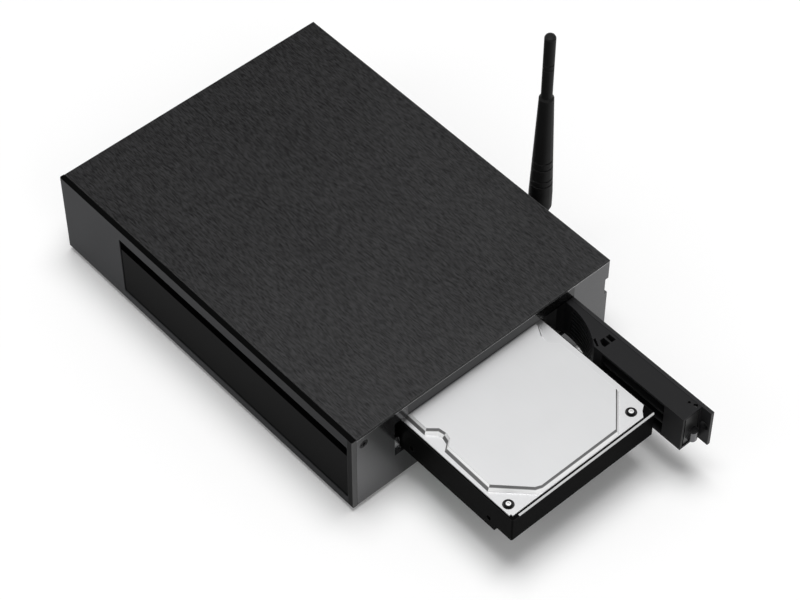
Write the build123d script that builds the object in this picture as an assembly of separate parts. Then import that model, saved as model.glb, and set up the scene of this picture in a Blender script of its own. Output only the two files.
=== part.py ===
from build123d import *
import math
import os

# Media player with a hard drive bay in its right side, in millimetres.
# Origin: centre of the case's underside. X to the right, Y to the rear, Z up.
# It is drawn as it stands for loading: door open square, drive pulled most of the way out.

# ---- Hard drive, the standard 3.5 inch size ----
drive_length = 147.0
drive_width = 101.6
drive_height = 26.1
drive_out = 81.6
drive_wall = 5.0
drive_floor = 2.5
drive_floor_rise = 4.0
drive_toe = 12.5
drive_corner = 1.0
drive_hole_radius = 1.6
drive_hole_depth = 3.5
drive_hole_height = 6.35
drive_hole_insets = (16.9, 75.5, 118.5)
cavity_corner = 18.0
cover_rise = 4.0
cover_skin = 0.8
cover_inset = 0.9
cover_groove = 1.2
cover_chamfer = 3.2
cover_bevel = 1.9
cover_screw_radius = 2.2
cover_screw_head = 1.1
cover_screw_shank = 0.95
cover_screw_length = 5.0
cover_screw_socket = 0.9
cover_screw_recess = 3.1
cover_screw_sink = 0.3
cover_screw_outer_inset = 8.6
cover_screw_inner_inset = 5.0
cover_screw_front_inset = 5.2
cover_screw_rear_inset = 9.0
plateau_front_inset = 4.6
plateau_rear_inset = 6.4
plateau_outer_inset = 4.2
plateau_inner_inset = 6.0
platter_radius = 42.0
platter_thickness = 1.2
platter_count = 3
platter_pitch = 3.6
platter_inset = 55.0
hub_radius = 15.5
hub_rise = 3.2
first_disk_rise = 4.0
stator_radius = 4.8
spindle_radius = 3.0
bearing_clearance = 0.05
actuator_from_spindle = 47.0
actuator_wall_gap = 16.8
actuator_hub_radius = 6.5
actuator_post_radius = 2.5
actuator_rise = 2.0
arm_length = 36.0
arm_thickness = 0.8
arm_root = 4.0
arm_root_half = 4.5
arm_tip_half = 1.6
coil_rise = 4.0
coil_thickness = 3.0
coil_reach = 20.0
coil_shoulder = 17.0
coil_half = 9.0
coil_neck_half = 5.0
magnet_near = 8.0
magnet_far = 25.0
magnet_bulge = 2.0
magnet_half = 13.0
magnet_gap = 1.0
magnet_turn = 5.0
park_angle = 24.0
sata_width = 42.0
sata_height = 6.0
sata_depth = 7.0
sata_offset = 20.0
sata_tongue_thickness = 1.2
sata_tongue_lengths = (20.6, 10.4)
sata_tongue_gap = 3.4
sata_fit = 0.6

# ---- Case: room around the drive, then the plates ----
electronics_width = 74.6
bay_front_room = 35.5
bay_rear_room = 46.9
bay_floor_height = 20.5
head_room = 10.4
front_thickness = 3.0
side_thickness = 2.0
cover_thickness = 1.5
sheet = 1.5
seam = 0.15
edge_break = 0.4
flange_depth = 10.5
tray_flange_height = 12.0
rear_flange_height = 4.2
foot_height = 3.0
foot_radius = 8.0
foot_inset = 24.0
foot_peg_radius = 2.5
foot_round = 0.8
side_screw_inset = 8.2
side_screw_drop = 7.6
rear_notch_height = 12.0
rear_notch_depth = 2.2
rear_notch_low = 30.0
vent_slot_width = 2.2
vent_slot_length = 16.0
vent_pitch = 6.0
side_vent_count = 15
side_vent_heights = (17.0, 38.0)
rear_vent_count = 17
rear_vent_length = 10.0
rear_vent_drop = 17.0
rear_vent_shift = -10.0
floor_vent_count = 9
floor_vent_inset = 42.25

# ---- Front panel and window ----
window_left_margin = 51.8
window_right_margin = 3.8
window_low_margin = 6.0
window_top_margin = 7.8
window_recess = 0.5
window_flange = 1.0
window_flange_thickness = 1.2
window_corner = 1.0
window_gap = 0.2
stud_radius = 1.5
stud_length = 5.5
stud_top_drop = 4.9
stud_low = 12.0
stud_spread = 100.0
nut_across_flats = 5.5
nut_height = 2.4
display_cutout_inset = 10.0
display_board_gap = 4.0
display_board_thickness = 1.6
display_board_height = 36.0
display_board_left = 4.0
display_board_right = 10.0
display_post_inset = 3.0
display_post_rise = 12.0
display_tube_width = 100.0
display_tube_height = 22.0
display_tube_gap = 0.5
display_tube_shift = -12.0
eye_radius = 2.4
eye_case = 3.5
eye_inset = 28.0
lamp_radius = 1.5
lamp_inset = 13.0

# ---- Bay, cage and runners ----
front_jamb_gap = 6.2
rear_jamb_gap = 20.7
opening_low_gap = 0.5
opening_high_gap = 0.7
bay_side_gap = 0.2
bay_under_gap = 0.2
bay_end_gap = 7.0
runner_thickness = 1.0
runner_sole = 0.6
runner_sole_width = 6.0
cage_wall_height = 20.0
cage_front_gap = 3.5
cage_end_clearance = 3.5
cage_spacer_radius = 2.75
cage_notch = 12.0
cage_notch_depth = 8.0
backplane_gap = 2.0
backplane_thickness = 1.6
backplane_height = 17.3
backplane_inset = 8.0

# ---- Door and hinge ----
door_gap = 0.3
door_depth = 15.5
door_panel_thickness = 2.0
door_panel_overhang = 7.0
door_corner = 0.6
door_body_gap = 0.6
door_wall = 1.5
pivot_inset = 12.05
pin_radius = 2.0
pin_clearance = 0.05
pin_head_height = 1.4
pin_tail = 2.2
clip_thickness = 0.8
barrel_radius = 4.5
bracket_clearance = 0.6
bracket_foot = 13.0
jamb_edge = 0.5
scoop_radius = 45.6
scoop_centre_out = 14.5
scoop_centre_in = -38.95
scoop_steps = 12
scoop_groove_depth = 1.3
scoop_groove_height = 1.5
scoop_groove_pitch = 3.0
scoop_groove_count = 7
scoop_groove_low = 3.2
bar_root = 44.0
bar_rib_count = 2
bar_rib_thickness = 1.4
bar_hollow_depth = 6.0
pocket_depth = 9.0
pocket_outlines = (
    ((42.5, 1.6), (42.5, 4.4), (47.5, 4.4), (47.5, 0.4), (45.4, 0.2)),
    ((42.8, 5.4), (42.8, 8.4), (47.7, 8.4), (47.7, 5.4)),
    ((39.6, -0.6), (39.8, 1.0), (45.0, -1.6), (44.3, -2.6)),
)
pocket_hole = (102.6, 7.1)
pocket_hole_radius = 0.9
corner_recess = ((104.6, 8.2), (106.2, 6.8), (108.0, 8.2), (106.4, 9.7))
corner_recess_depth = 2.5
door_stud_radius = 0.95
door_stud_length = 2.8
door_stud_reaches = (24.0, 56.0, 88.0)

# ---- Latch ----
latch_pocket_length = 23.0
latch_wall = 1.3
latch_fit = 0.1
bolt_reach = 4.2
bolt_width = 5.0
bolt_height = 7.0
bolt_rise = 9.0
bolt_clearance = 0.1
bolt_collar = 1.4
bolt_collar_side = 0.7
bolt_collar_rise = 0.9
spring_wire = 0.22
spring_radius = 1.6
spring_turns = 4
spring_seat = 0.05
striker_thickness = 1.2
striker_tongue = 5.3
striker_tongue_height = 11.5
striker_foot = 11.0
striker_strip = 1.6
striker_corner = 3.0
striker_screw_heights = (7.0, 20.0)

# ---- Main board ----
board_thickness = 1.6
board_rise = 4.5
board_left_gap = 10.25
board_right_reach = 27.0
board_depth = 107.2
board_rear_gap = 1.3
standoff_radius = 2.8
standoff_inset = 5.0
standoff_rear_inset = 29.2
standoff_middle_shift = 5.0
chip_size = 23.0
chip_height = 2.0
chip_inset = 27.0
chip_rear_inset = 59.2
cooler_size = 44.0
cooler_base = 4.0
cooler_height = 18.0
fin_count = 9
fin_thickness = 1.4
memory_count = 4
memory_width = 8.0
memory_depth = 11.0
memory_height = 1.2
memory_pitch = 12.0
memory_gap = 3.5
radio_width = 18.0
radio_height = 2.6
radio_rear_inset = 31.2
lead_radius = 0.6
lead_bend = 1.2
lead_socket_radius = 1.2
lead_socket_height = 0.8
cable_width = 14.0
cable_thickness = 0.6
cable_inset = 52.25
cable_drop_gap = 9.5
plug_height = 4.0
plug_depth = 3.0

# ---- Rear sockets, each placed from its neighbour on the left ----
socket_gap = 0.25
switch_inset = 18.25
switch_to_inlet = 20.0
inlet_to_jack = 16.0
jack_to_optical = 16.0
optical_to_video = 20.0
video_pitch = 21.0
video_to_usb = 23.0
usb_to_network = 23.0
network_to_antenna = 19.5
inlet_width = 9.0
inlet_height = 11.0
inlet_depth = 14.0
inlet_mouth_radius = 3.2
inlet_mouth_depth = 9.5
inlet_pin_radius = 1.0
jack_width = 9.0
jack_depth = 13.0
jack_bore_radius = 1.8
jack_bore_depth = 11.0
optical_width = 9.7
optical_height = 10.0
optical_depth = 12.0
video_width = 15.0
video_height = 6.0
video_depth = 12.0
usb_width = 13.2
usb_height = 14.8
usb_depth = 15.0
network_width = 16.0
network_height = 13.4
network_depth = 15.5
tongue_setback = 1.5

# ---- Power switch ----
switch_rise = 9.4
switch_width = 19.0
switch_height = 13.0
switch_depth = 17.0
switch_wall = 1.2
switch_bezel = 1.5
switch_bezel_depth = 1.6
switch_hollow = 11.0
trunnion_block = 6.0
trunnion_block_height = 5.0
rocker_width = 13.6
rocker_height = 9.2
rocker_depth = 6.5
rocker_axis_depth = 4.0
rocker_side_gap = 0.3
rocker_pin_radius = 1.0
rocker_angle = 9.0

# ---- Antenna ----
antenna_z = 26.0
antenna_axis_gap = 14.0
antenna_top = 165.6
antenna_tip_radius = 3.2
antenna_tip_length = 46.0
antenna_shoulder_radius = 4.2
antenna_foot_radius = 6.7
antenna_foot_rise = 6.2
antenna_foot_length = 14.0
antenna_fork_half = 4.0
antenna_ear_inner = 2.6
antenna_ear_outer = 5.0
antenna_pin_radius = 1.2
antenna_pin_fit = 0.02
knuckle_radius = 3.8
knuckle_width = 5.0
sleeve_grooves = (21.8, 26.0, 34.8, 40.0)
sleeve_groove_depth = 0.5
sleeve_groove_width = 1.1
tube_grooves = (20.5, 24.0)
tube_groove_depth = 0.35
connector_radius = 3.1
connector_reach = 6.0
connector_flange_radius = 4.5
connector_flange = 2.0
connector_stem_radius = 1.6
connector_stem = 4.0
collar_radius = 5.4
collar_teeth = 24
collar_tooth_radius = 0.35
collar_gap = 0.1
antenna_nut_across = 8.0
antenna_nut_height = 1.8

# ---- Fasteners ----
screw_radius = 1.4
screw_head_radius = 2.75
screw_head_height = 1.7
recess_depth = 0.8
hole_clearance = 0.15
through = 12.0
short_screw = 5.0
long_screw = 8.0
rear_screw_inset = 7.25
rear_screw_drop = 5.0
rear_screw_rise = 1.9

# ---- Worked out from the above ----
bay_depth = door_depth + bay_under_gap * 2
case_width = electronics_width + bay_end_gap + drive_length + bay_depth
case_depth = bay_front_room + drive_width + bay_rear_room
case_height = bay_floor_height + drive_height + head_room

x_side = case_width / 2
y_rear = case_depth / 2
y_front = -y_rear
z_top = case_height
x_inner = x_side - side_thickness
x_tray = x_inner - seam
y_front_back = y_front + front_thickness
y_wall = y_front_back + seam
y_wall_in = y_wall + sheet
y_rear_panel = y_rear - sheet
y_flange = y_rear_panel - seam
y_flange_in = y_flange - sheet
z_cover = z_top - cover_thickness
z_panel = z_cover - 0.02
z_floor = sheet

drive_front = y_front + bay_front_room
drive_rear = drive_front + drive_width
drive_centre_y = (drive_front + drive_rear) / 2
drive_x_out = x_side + drive_out
drive_x_in = drive_x_out - drive_length
drive_bottom = bay_floor_height
drive_top = drive_bottom + drive_height
drive_rim = drive_top - cover_rise
drive_deck = drive_rim - cover_skin
drive_board_top = drive_bottom + drive_floor_rise
z_cavity = drive_board_top + drive_floor
spindle_x = drive_x_out - platter_inset
actuator_x = spindle_x - actuator_from_spindle
actuator_y = drive_rear - drive_wall - actuator_wall_gap
stack_top = first_disk_rise + platter_pitch * platter_count
sata_y = drive_centre_y - sata_offset
sata_low = drive_board_top + 0.5

opening_front = drive_front - front_jamb_gap
opening_rear = drive_rear + rear_jamb_gap
opening_low = drive_bottom - opening_low_gap
opening_high = drive_top + opening_high_gap

pivot_x = x_side - pivot_inset
pivot_y = opening_rear - door_gap - pivot_inset
door_face_y = pivot_y + pivot_inset
door_back_y = door_face_y - door_depth
door_panel_y = door_face_y - door_panel_thickness
door_root_x = pivot_x - pivot_inset + door_gap / 2
door_tip_x = pivot_x + pivot_y - opening_front - door_gap
bar_tip_x = door_tip_x - door_panel_overhang
bar_root_x = pivot_x + bar_root
panel_low = opening_low + door_gap
panel_high = opening_high - door_gap
body_low = panel_low + door_body_gap
body_high = panel_high - door_gap
body_middle = (body_low + body_high) / 2
door_sweep = math.hypot(pivot_inset, pivot_inset)
scoop_x = pivot_x + scoop_centre_out
scoop_y = pivot_y + scoop_centre_in
door_stud_xs = [pivot_x + reach for reach in door_stud_reaches]

latch_x0 = bar_tip_x - latch_pocket_length + 12.0 + latch_fit * 2
latch_x1 = bar_tip_x - 0.6
latch_y0 = door_back_y + door_wall + 1.6
latch_y1 = door_panel_y - 1.2
bolt_y = (latch_y0 + latch_y1) / 2 + 0.1
bolt_z = opening_low + bolt_rise
bolt_back_x = latch_x1 - latch_wall - bolt_clearance - bolt_collar

cage_floor_top = drive_bottom - bay_under_gap - runner_sole
cage_floor_low = cage_floor_top - sheet
cage_wall_front = drive_front - bay_side_gap - runner_thickness
cage_wall_rear = drive_rear + bay_side_gap + runner_thickness
cage_wall_top = cage_floor_top + cage_wall_height
drive_seat_in = x_side - bay_depth - drive_length
cage_end = drive_seat_in - bay_end_gap
cage_front = opening_front - cage_front_gap
cage_rear = pivot_y + door_sweep + 2.0
cage_wall_end = x_side - door_depth - cage_end_clearance
bracket_low = panel_high + bracket_clearance
bracket_x = pivot_x - pivot_inset + door_gap
backplane_x = cage_end + backplane_gap
plug_z = cage_wall_top - cage_notch_depth + 2.7

row_x = -x_side
switch_x = row_x + switch_inset
inlet_x = switch_x + switch_to_inlet
jack_x = inlet_x + inlet_to_jack
optical_x = jack_x + jack_to_optical
video_xs = (optical_x + optical_to_video, optical_x + optical_to_video + video_pitch)
usb_x = video_xs[1] + video_to_usb
network_x = usb_x + usb_to_network
antenna_x = network_x + network_to_antenna
antenna_y = y_rear + antenna_axis_gap

board_low = z_floor + board_rise
board_top = board_low + board_thickness
board_left = -x_side + board_left_gap
board_right = network_x + board_right_reach
board_rear = y_rear_panel - board_rear_gap
board_front = board_rear - board_depth
chip_x = board_left + chip_inset
chip_y = board_rear - chip_rear_inset
switch_z = board_top + switch_rise
radio_x = network_x + 2.0
radio_y1 = board_rear - radio_rear_inset
radio_y0 = radio_y1 - radio_width
lead_x = radio_x + 3.0
lead_y = radio_y1 - 4.0
cable_x = -x_side + cable_inset

window_x0 = -x_side + window_left_margin
window_x1 = x_side - window_right_margin
window_z0 = window_low_margin
window_z1 = z_top - window_top_margin
tube_x = (window_x0 + window_x1) / 2 + display_tube_shift
tube_z = (window_z0 + window_z1) / 2
display_front = y_front_back + display_tube_gap
display_y0 = y_wall_in + display_board_gap
display_y1 = display_y0 + display_board_thickness
display_x0 = window_x0 + display_board_left
display_x1 = window_x1 - display_board_right

collar_y = y_rear + antenna_nut_height + collar_gap
collar_length = antenna_axis_gap - antenna_fork_half - antenna_nut_height - collar_gap - 1.0

# ---- Places that several pieces share ----
side_screw_points = [
    (side * x_side, y_front + side_screw_inset, z_top - side_screw_drop) for side in (-1, 1)
]
rear_screw_points = [
    (x, z)
    for x in (rear_screw_inset - x_side, 0, x_side - rear_screw_inset)
    for z in (z_cover - rear_screw_drop, z_floor + rear_screw_rise)
]
stud_points = [(x, z_top - stud_top_drop) for x in (-stud_spread, 0, stud_spread)]
stud_points.append((-stud_spread, stud_low))
foot_points = [
    (sx * (x_side - foot_inset), sy * (y_rear - foot_inset)) for sx in (-1, 1) for sy in (-1, 1)
]
spacer_points = [
    (cage_end + 7.0, cage_front + 4.0),
    (cage_wall_end - 8.0, cage_front + 4.0),
    (cage_end + 7.0, cage_rear - 6.5),
    (board_right + 26.0, cage_rear - 6.5),
]
standoff_points = [
    (x, y)
    for x in (
        board_left + standoff_inset,
        (board_left + board_right) / 2 + standoff_middle_shift,
        board_right - standoff_inset,
    )
    for y in (board_front + standoff_inset, board_rear - standoff_rear_inset)
]
display_posts = [
    (x, tube_z + dz)
    for x in (display_x0 + display_post_inset, display_x1 - display_post_inset)
    for dz in (-display_post_rise, display_post_rise)
]
bracket_screw_points = [
    (x, cage_rear + bracket_foot - 6.0) for x in (bracket_x + 5.0, x_tray - 5.0)
]
striker_screw_points = [(opening_front - 6.0, opening_low + rise) for rise in striker_screw_heights]
cover_screw_points = [
    (drive_x_out - cover_screw_outer_inset, drive_front + cover_screw_front_inset),
    (drive_x_out - cover_screw_outer_inset, drive_rear - cover_screw_rear_inset),
    (drive_x_in + cover_screw_inner_inset, drive_front + cover_screw_front_inset),
    (drive_x_in + cover_screw_inner_inset, drive_rear - cover_screw_front_inset),
]


# ---- Helpers ----
def block(x0, x1, y0, y1, z0, z1):
    """A box between two corners."""
    return Pos((x0 + x1) / 2, (y0 + y1) / 2, (z0 + z1) / 2) * Box(x1 - x0, y1 - y0, z1 - z0)


def place(shape, point, outward):
    """Turns a shape drawn along +Z so that +Z points outward, and moves it to the point."""
    return Plane(origin=point, z_dir=outward).location * shape


def rod(point, direction, radius, length):
    """A round bar that starts at the point and runs along the direction."""
    bar = Cylinder(radius, length, align=(Align.CENTER, Align.CENTER, Align.MIN))
    return place(bar, point, direction)


def ring(point, direction, outer, inner, length):
    """A washer or tube that starts at the point."""
    return rod(point, direction, outer, length) - rod(point, direction, inner, length)


def prism(points, z0, z1):
    """A plan outline, extruded between two heights."""
    face = make_face(Polyline(*points, close=True))
    return Pos(0, 0, z0) * extrude(face, z1 - z0, dir=(0, 0, 1))


def group(solids):
    """Separate solids that share one node."""
    return Compound(children=list(solids))


def screw_hole(point, direction, length=through):
    """The clearance hole for a screw's shank, from the point along the direction."""
    return rod(point, direction, screw_radius + hole_clearance, length)


def cross_recess(radius):
    """The cross slot of a screw, cut into the face at z = 0."""
    arm = Box(radius * 1.3, radius * 0.28, recess_depth * 2)
    return arm + Rot(0, 0, 90) * arm


def flat_screw(point, outward, length):
    """A countersunk screw, its head flush with the point."""
    head = Pos(0, 0, -screw_head_height / 2) * Cone(screw_radius, screw_head_radius, screw_head_height)
    shank = rod((0, 0, 0), (0, 0, -1), screw_radius, length)
    return place(head + shank - cross_recess(screw_head_radius), point, outward)


def pan_screw(point, outward, length):
    """A pan head screw, its head seated on the point."""
    cap = Pos(0, 0, screw_head_height / 2) * Cylinder(screw_head_radius, screw_head_height)
    cap = fillet(cap.edges().filter_by(GeomType.CIRCLE).group_by(Axis.Z)[-1], screw_head_height * 0.45)
    shank = rod((0, 0, 0), (0, 0, -1), screw_radius, length)
    recess = Pos(0, 0, screw_head_height) * cross_recess(screw_head_radius)
    return place(cap + shank - recess, point, outward)


def sink(point, outward):
    """The countersunk hole for a flat screw."""
    cone = Cone(screw_radius + hole_clearance, screw_head_radius + hole_clearance, screw_head_height)
    hole = screw_hole((0, 0, 0), (0, 0, -1))
    return place(Pos(0, 0, -screw_head_height / 2) * cone + hole, point, outward)


def hex_nut(point, outward):
    """A hexagon nut around a front panel stud."""
    blank = extrude(RegularPolygon(nut_across_flats / 2, 6, major_radius=False), nut_height)
    bore = rod((0, 0, 0), (0, 0, 1), stud_radius + hole_clearance, nut_height)
    return place(blank - bore, point, outward)


def vent_slot(length):
    """A cooling slot's cutter, long along X and deep along Z."""
    return extrude(SlotOverall(length, vent_slot_width), through, both=True)


def window_block(grow, y0, y1):
    """The window's outline, grown or shrunk, between two depths."""
    shape = block(window_x0 - grow, window_x1 + grow, y0, y1, window_z0 - grow, window_z1 + grow)
    return fillet(shape.edges().filter_by(Axis.Y), window_corner)


# ---- Case pieces ----
def base_tray():
    """Folded tray: bottom, full-height wall behind the front panel, low flanges elsewhere."""
    tray = block(-x_tray, x_tray, y_wall, y_flange, 0, z_floor)
    tray += block(-x_tray, x_tray, y_wall, y_wall_in, 0, z_cover - seam)
    for side in (-1, 1):
        x0, x1 = sorted((side * x_tray, side * (x_tray - sheet)))
        tray += block(x0, x1, y_wall, y_flange, 0, tray_flange_height)
    tray += block(-x_tray, x_tray, y_flange_in, y_flange, 0, sheet + rear_flange_height)
    inset = display_cutout_inset
    tray -= block(
        window_x0 + inset, window_x1 - inset * 2, y_wall - 1, y_wall_in + 1,
        window_z0 + inset / 2, window_z1 - inset / 2,
    )
    for x, z in stud_points:
        tray -= rod((x, y_wall - 1, z), (0, 1, 0), stud_radius + hole_clearance, sheet + 2)
    for x, y in foot_points:
        tray -= rod((x, y, -1), (0, 0, 1), foot_peg_radius + hole_clearance, sheet + 2)
    for row in range(floor_vent_count):
        y = (row - (floor_vent_count - 1) / 2) * vent_pitch
        tray -= Pos(-x_side + floor_vent_inset, y, 0) * vent_slot(vent_slot_length)
    for x, z in rear_screw_points:
        tray -= screw_hole((x, y_flange_in - 1, z), (0, 1, 0), sheet + 2)
    return tray


def top_cover():
    """Brushed plate with broken edges, short side flanges and a rear flange."""
    plate = block(-x_side, x_side, y_front_back + seam, y_rear, z_cover, z_top)
    plate = chamfer(plate.edges().group_by(Axis.Z)[-1], edge_break)
    z_flange = z_cover - flange_depth
    for side in (-1, 1):
        x0, x1 = sorted((side * x_tray, side * (x_tray - sheet)))
        plate += block(x0, x1, y_wall_in + seam, opening_front - striker_foot - 1, z_flange, z_cover)
        plate += block(x0, x1, cage_rear + 2, y_flange_in, z_flange, z_cover)
    plate += block(-x_tray, x_tray, y_flange_in, y_flange, z_flange, z_cover)
    for x, y, z in side_screw_points:
        plate -= screw_hole((x, y, z), (-x, 0, 0))
    for x, z in rear_screw_points:
        plate -= screw_hole((x, y_flange_in - 1, z), (0, 1, 0), sheet + 2)
    return plate


def side_panel(side):
    """Side plate under the cover, with its countersunk hole and the notch at its rear edge."""
    x0, x1 = sorted((side * x_inner, side * x_side))
    plate = block(x0, x1, y_front_back + seam, y_rear, 0, z_panel)
    outer = plate.faces().sort_by(Axis.X)[-1 if side > 0 else 0]
    plate = chamfer(outer.edges().group_by(Axis.Z)[0], edge_break)
    plate -= sink(side_screw_points[0 if side < 0 else 1], (side, 0, 0))
    notch_high = rear_notch_low + rear_notch_height
    return plate - block(x0 - 1, x1 + 1, y_rear - rear_notch_depth, y_rear + 1, rear_notch_low, notch_high)


def right_side_panel():
    """Right plate with the bay opening, its rear jamb relieved inside for the door's swing."""
    plate = side_panel(1)
    plate -= block(x_inner - 1, x_side + 1, opening_front, opening_rear, opening_low, opening_high)
    relief = side_thickness - jamb_edge
    wedge = [
        (x_inner - 0.1, opening_rear - 0.1),
        (x_inner + relief, opening_rear - 0.1),
        (x_inner + relief, opening_rear),
        (x_inner, opening_rear + relief),
        (x_inner - 0.1, opening_rear + relief),
    ]
    return plate - prism(wedge, opening_low, opening_high)


def left_side_panel():
    """Left plate with two rows of cooling slots."""
    plate = side_panel(-1)
    for column in range(side_vent_count):
        y = (column - (side_vent_count - 1) / 2) * vent_pitch
        for z in side_vent_heights:
            plate -= Pos(-x_side, y, z) * Rot(0, 90, 0) * vent_slot(vent_slot_length)
    return plate


def rear_panel():
    """Rear plate with socket holes, the switch hole, the antenna hole and vent slots."""
    plate = block(-x_inner + seam, x_inner - seam, y_rear_panel, y_rear, 0, z_panel)
    sockets = [
        (inlet_x, inlet_width, inlet_height),
        (jack_x, jack_width, jack_width),
        (optical_x, optical_width, optical_height),
        (usb_x, usb_width, usb_height),
        (network_x, network_width, network_height),
        (video_xs[0], video_width, video_height),
        (video_xs[1], video_width, video_height),
    ]
    for x, width, height in sockets:
        half = width / 2 + socket_gap
        low, high = board_top - socket_gap, board_top + height + socket_gap
        plate -= block(x - half, x + half, y_rear_panel - 1, y_rear + 1, low, high)
    plate -= switch_block(socket_gap, y_rear_panel - 1, y_rear + 1)
    antenna_hole = connector_radius + hole_clearance
    plate -= rod((antenna_x, y_rear_panel - 1, antenna_z), (0, 1, 0), antenna_hole, sheet + 2)
    for x, z in rear_screw_points:
        plate -= screw_hole((x, y_rear_panel - 1, z), (0, 1, 0), sheet + 2)
    for column in range(rear_vent_count):
        x = (column - (rear_vent_count - 1) / 2) * vent_pitch + rear_vent_shift
        turn = Rot(90, 0, 0) * Rot(0, 0, 90)
        plate -= Pos(x, y_rear, z_top - rear_vent_drop) * turn * vent_slot(rear_vent_length)
    return plate


def front_panel():
    """Front plate: window opening with a rebate behind it, and four welded studs."""
    plate = block(-x_side, x_side, y_front, y_front_back, 0, z_top)
    plate = chamfer(plate.faces().sort_by(Axis.Y)[0].edges(), edge_break)
    plate -= window_block(0, y_front - 1, y_front_back + 1)
    rebate_y = y_front_back - window_flange_thickness - window_gap / 2
    plate -= window_block(window_flange + window_gap, rebate_y, y_front_back + 1)
    for x, z in stud_points:
        plate += rod((x, y_front_back, z), (0, 1, 0), stud_radius, stud_length)
    return plate


def display_window():
    """Dark window: a land that fills the opening and a flange in the rebate behind."""
    flange_y = y_front_back - window_flange_thickness
    land = window_block(-window_gap, y_front + window_recess, flange_y)
    return land + window_block(window_flange, flange_y, y_front_back)


def rubber_feet():
    """Four feet, each pushed into the tray by its peg."""
    feet = []
    for x, y in foot_points:
        foot = Pos(x, y, -foot_height / 2) * Cylinder(foot_radius, foot_height)
        foot = fillet(foot.edges().filter_by(GeomType.CIRCLE).group_by(Axis.Z)[0], foot_round)
        foot += rod((x, y, 0), (0, 0, 1), foot_peg_radius, sheet + hole_clearance)
        foot += rod((x, y, sheet + hole_clearance), (0, 0, 1), foot_peg_radius + 0.8, 1.0)
        feet.append(foot)
    return group(feet)


def side_screws():
    """Two countersunk screws, one at the upper front corner of each side."""
    return group(flat_screw(point, (point[0], 0, 0), 7.0) for point in side_screw_points)


def rear_screws():
    """Six screws that hold the rear panel to the cover's and the tray's flanges."""
    return group(pan_screw((x, y_rear, z), (0, 1, 0), short_screw) for x, z in rear_screw_points)


def stud_nuts():
    """Nuts on the front panel's studs."""
    return group(hex_nut((x, y_wall_in, z), (0, 1, 0)) for x, z in stud_points)


# ---- Behind the window ----
def display_board():
    """Printed board behind the window, with the plug shell for its flat cable."""
    half = display_board_height / 2
    board = block(display_x0, display_x1, display_y0, display_y1, tube_z - half, tube_z + half)
    for x, z in display_posts:
        board -= screw_hole((x, display_y0 - 1, z), (0, 1, 0))
    x0, x1 = cable_x - 1, cable_x + cable_width + 1
    low, high = tube_z - plug_height / 2, tube_z + plug_height / 2
    return board + block(x0, x1, display_y1, display_y1 + plug_depth, low, high)


def display_tube():
    """Glass display tube, standing off the board through the wall's cut-out."""
    half_x = display_tube_width / 2
    half_z = display_tube_height / 2
    tube = block(
        tube_x - half_x, tube_x + half_x, display_front, display_y0, tube_z - half_z, tube_z + half_z
    )
    return fillet(tube.faces().sort_by(Axis.Y)[0].edges(), 0.8)


def infrared_eye():
    """Remote control receiver with its domed lens."""
    x = display_x1 - eye_inset
    lens_y = display_front + eye_radius + 0.1
    case = block(x - eye_case, x + eye_case, lens_y, display_y0, tube_z - eye_case, tube_z + eye_case)
    return case + Pos(x, lens_y, tube_z) * Sphere(eye_radius)


def standby_lamp():
    """Standby lamp on its stalk."""
    lamp_point = (display_x0 + lamp_inset, display_y0, tube_z)
    return rod(lamp_point, (0, -1, 0), lamp_radius, display_y0 - display_front)


# ---- Main board ----
def main_board():
    """Main printed board with clear holes for the cage's pillars and its two plug shells."""
    board = block(board_left, board_right, board_front, board_rear, board_low, board_top)
    for x, y in standoff_points:
        board -= screw_hole((x, y, board_low - 1), (0, 0, 1))
    for x, y in spacer_points:
        board -= rod((x, y, board_low - 1), (0, 0, 1), cage_spacer_radius + 0.5, through)
    high = board_top + plug_height
    x0, x1 = cable_x - 1, cable_x + cable_width + 1
    y0 = board_front + 0.5
    board += block(x0, x1, y0, y0 + plug_depth, board_top, high)
    x1 = cage_end - cable_drop_gap
    half = cable_width / 2 + 1
    return board + block(x1 - plug_depth, x1, -half, half, board_top, high)


def board_standoffs():
    """Hollow standoffs under the main board, and the display board's spacers."""
    inner = screw_radius + hole_clearance
    posts = []
    for x, y in standoff_points:
        posts.append(ring((x, y, z_floor), (0, 0, 1), standoff_radius, inner, board_rise))
    for x, z in display_posts:
        posts.append(ring((x, y_wall_in, z), (0, 1, 0), standoff_radius, inner, display_board_gap))
    return group(posts)


def inner_screws():
    """The pan head screws inside the case: boards, cage, hinge bracket and striker."""
    screws = [pan_screw((x, y, board_top), (0, 0, 1), short_screw) for x, y in standoff_points]
    screws += [pan_screw((x, display_y1, z), (0, 1, 0), short_screw) for x, z in display_posts]
    screws += [pan_screw((x, y, cage_floor_top), (0, 0, 1), long_screw) for x, y in spacer_points]
    foot_top = cage_floor_top + sheet
    screws += [pan_screw((x, y, foot_top), (0, 0, 1), short_screw) for x, y in bracket_screw_points]
    x = x_inner - striker_thickness
    screws += [pan_screw((x, y, z), (-1, 0, 0), striker_thickness) for y, z in striker_screw_points]
    return group(screws)


def processor():
    """Main processor package."""
    half = chip_size / 2
    return block(
        chip_x - half, chip_x + half, chip_y - half, chip_y + half, board_top, board_top + chip_height
    )


def memory_chips():
    """Memory packages in a row in front of the processor."""
    chips = []
    y1 = chip_y - cooler_size / 2 - memory_gap
    for column in range(memory_count):
        x0 = board_left + memory_width / 2 + column * memory_pitch
        chips.append(
            block(x0, x0 + memory_width, y1 - memory_depth, y1, board_top, board_top + memory_height)
        )
    return group(chips)


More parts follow.
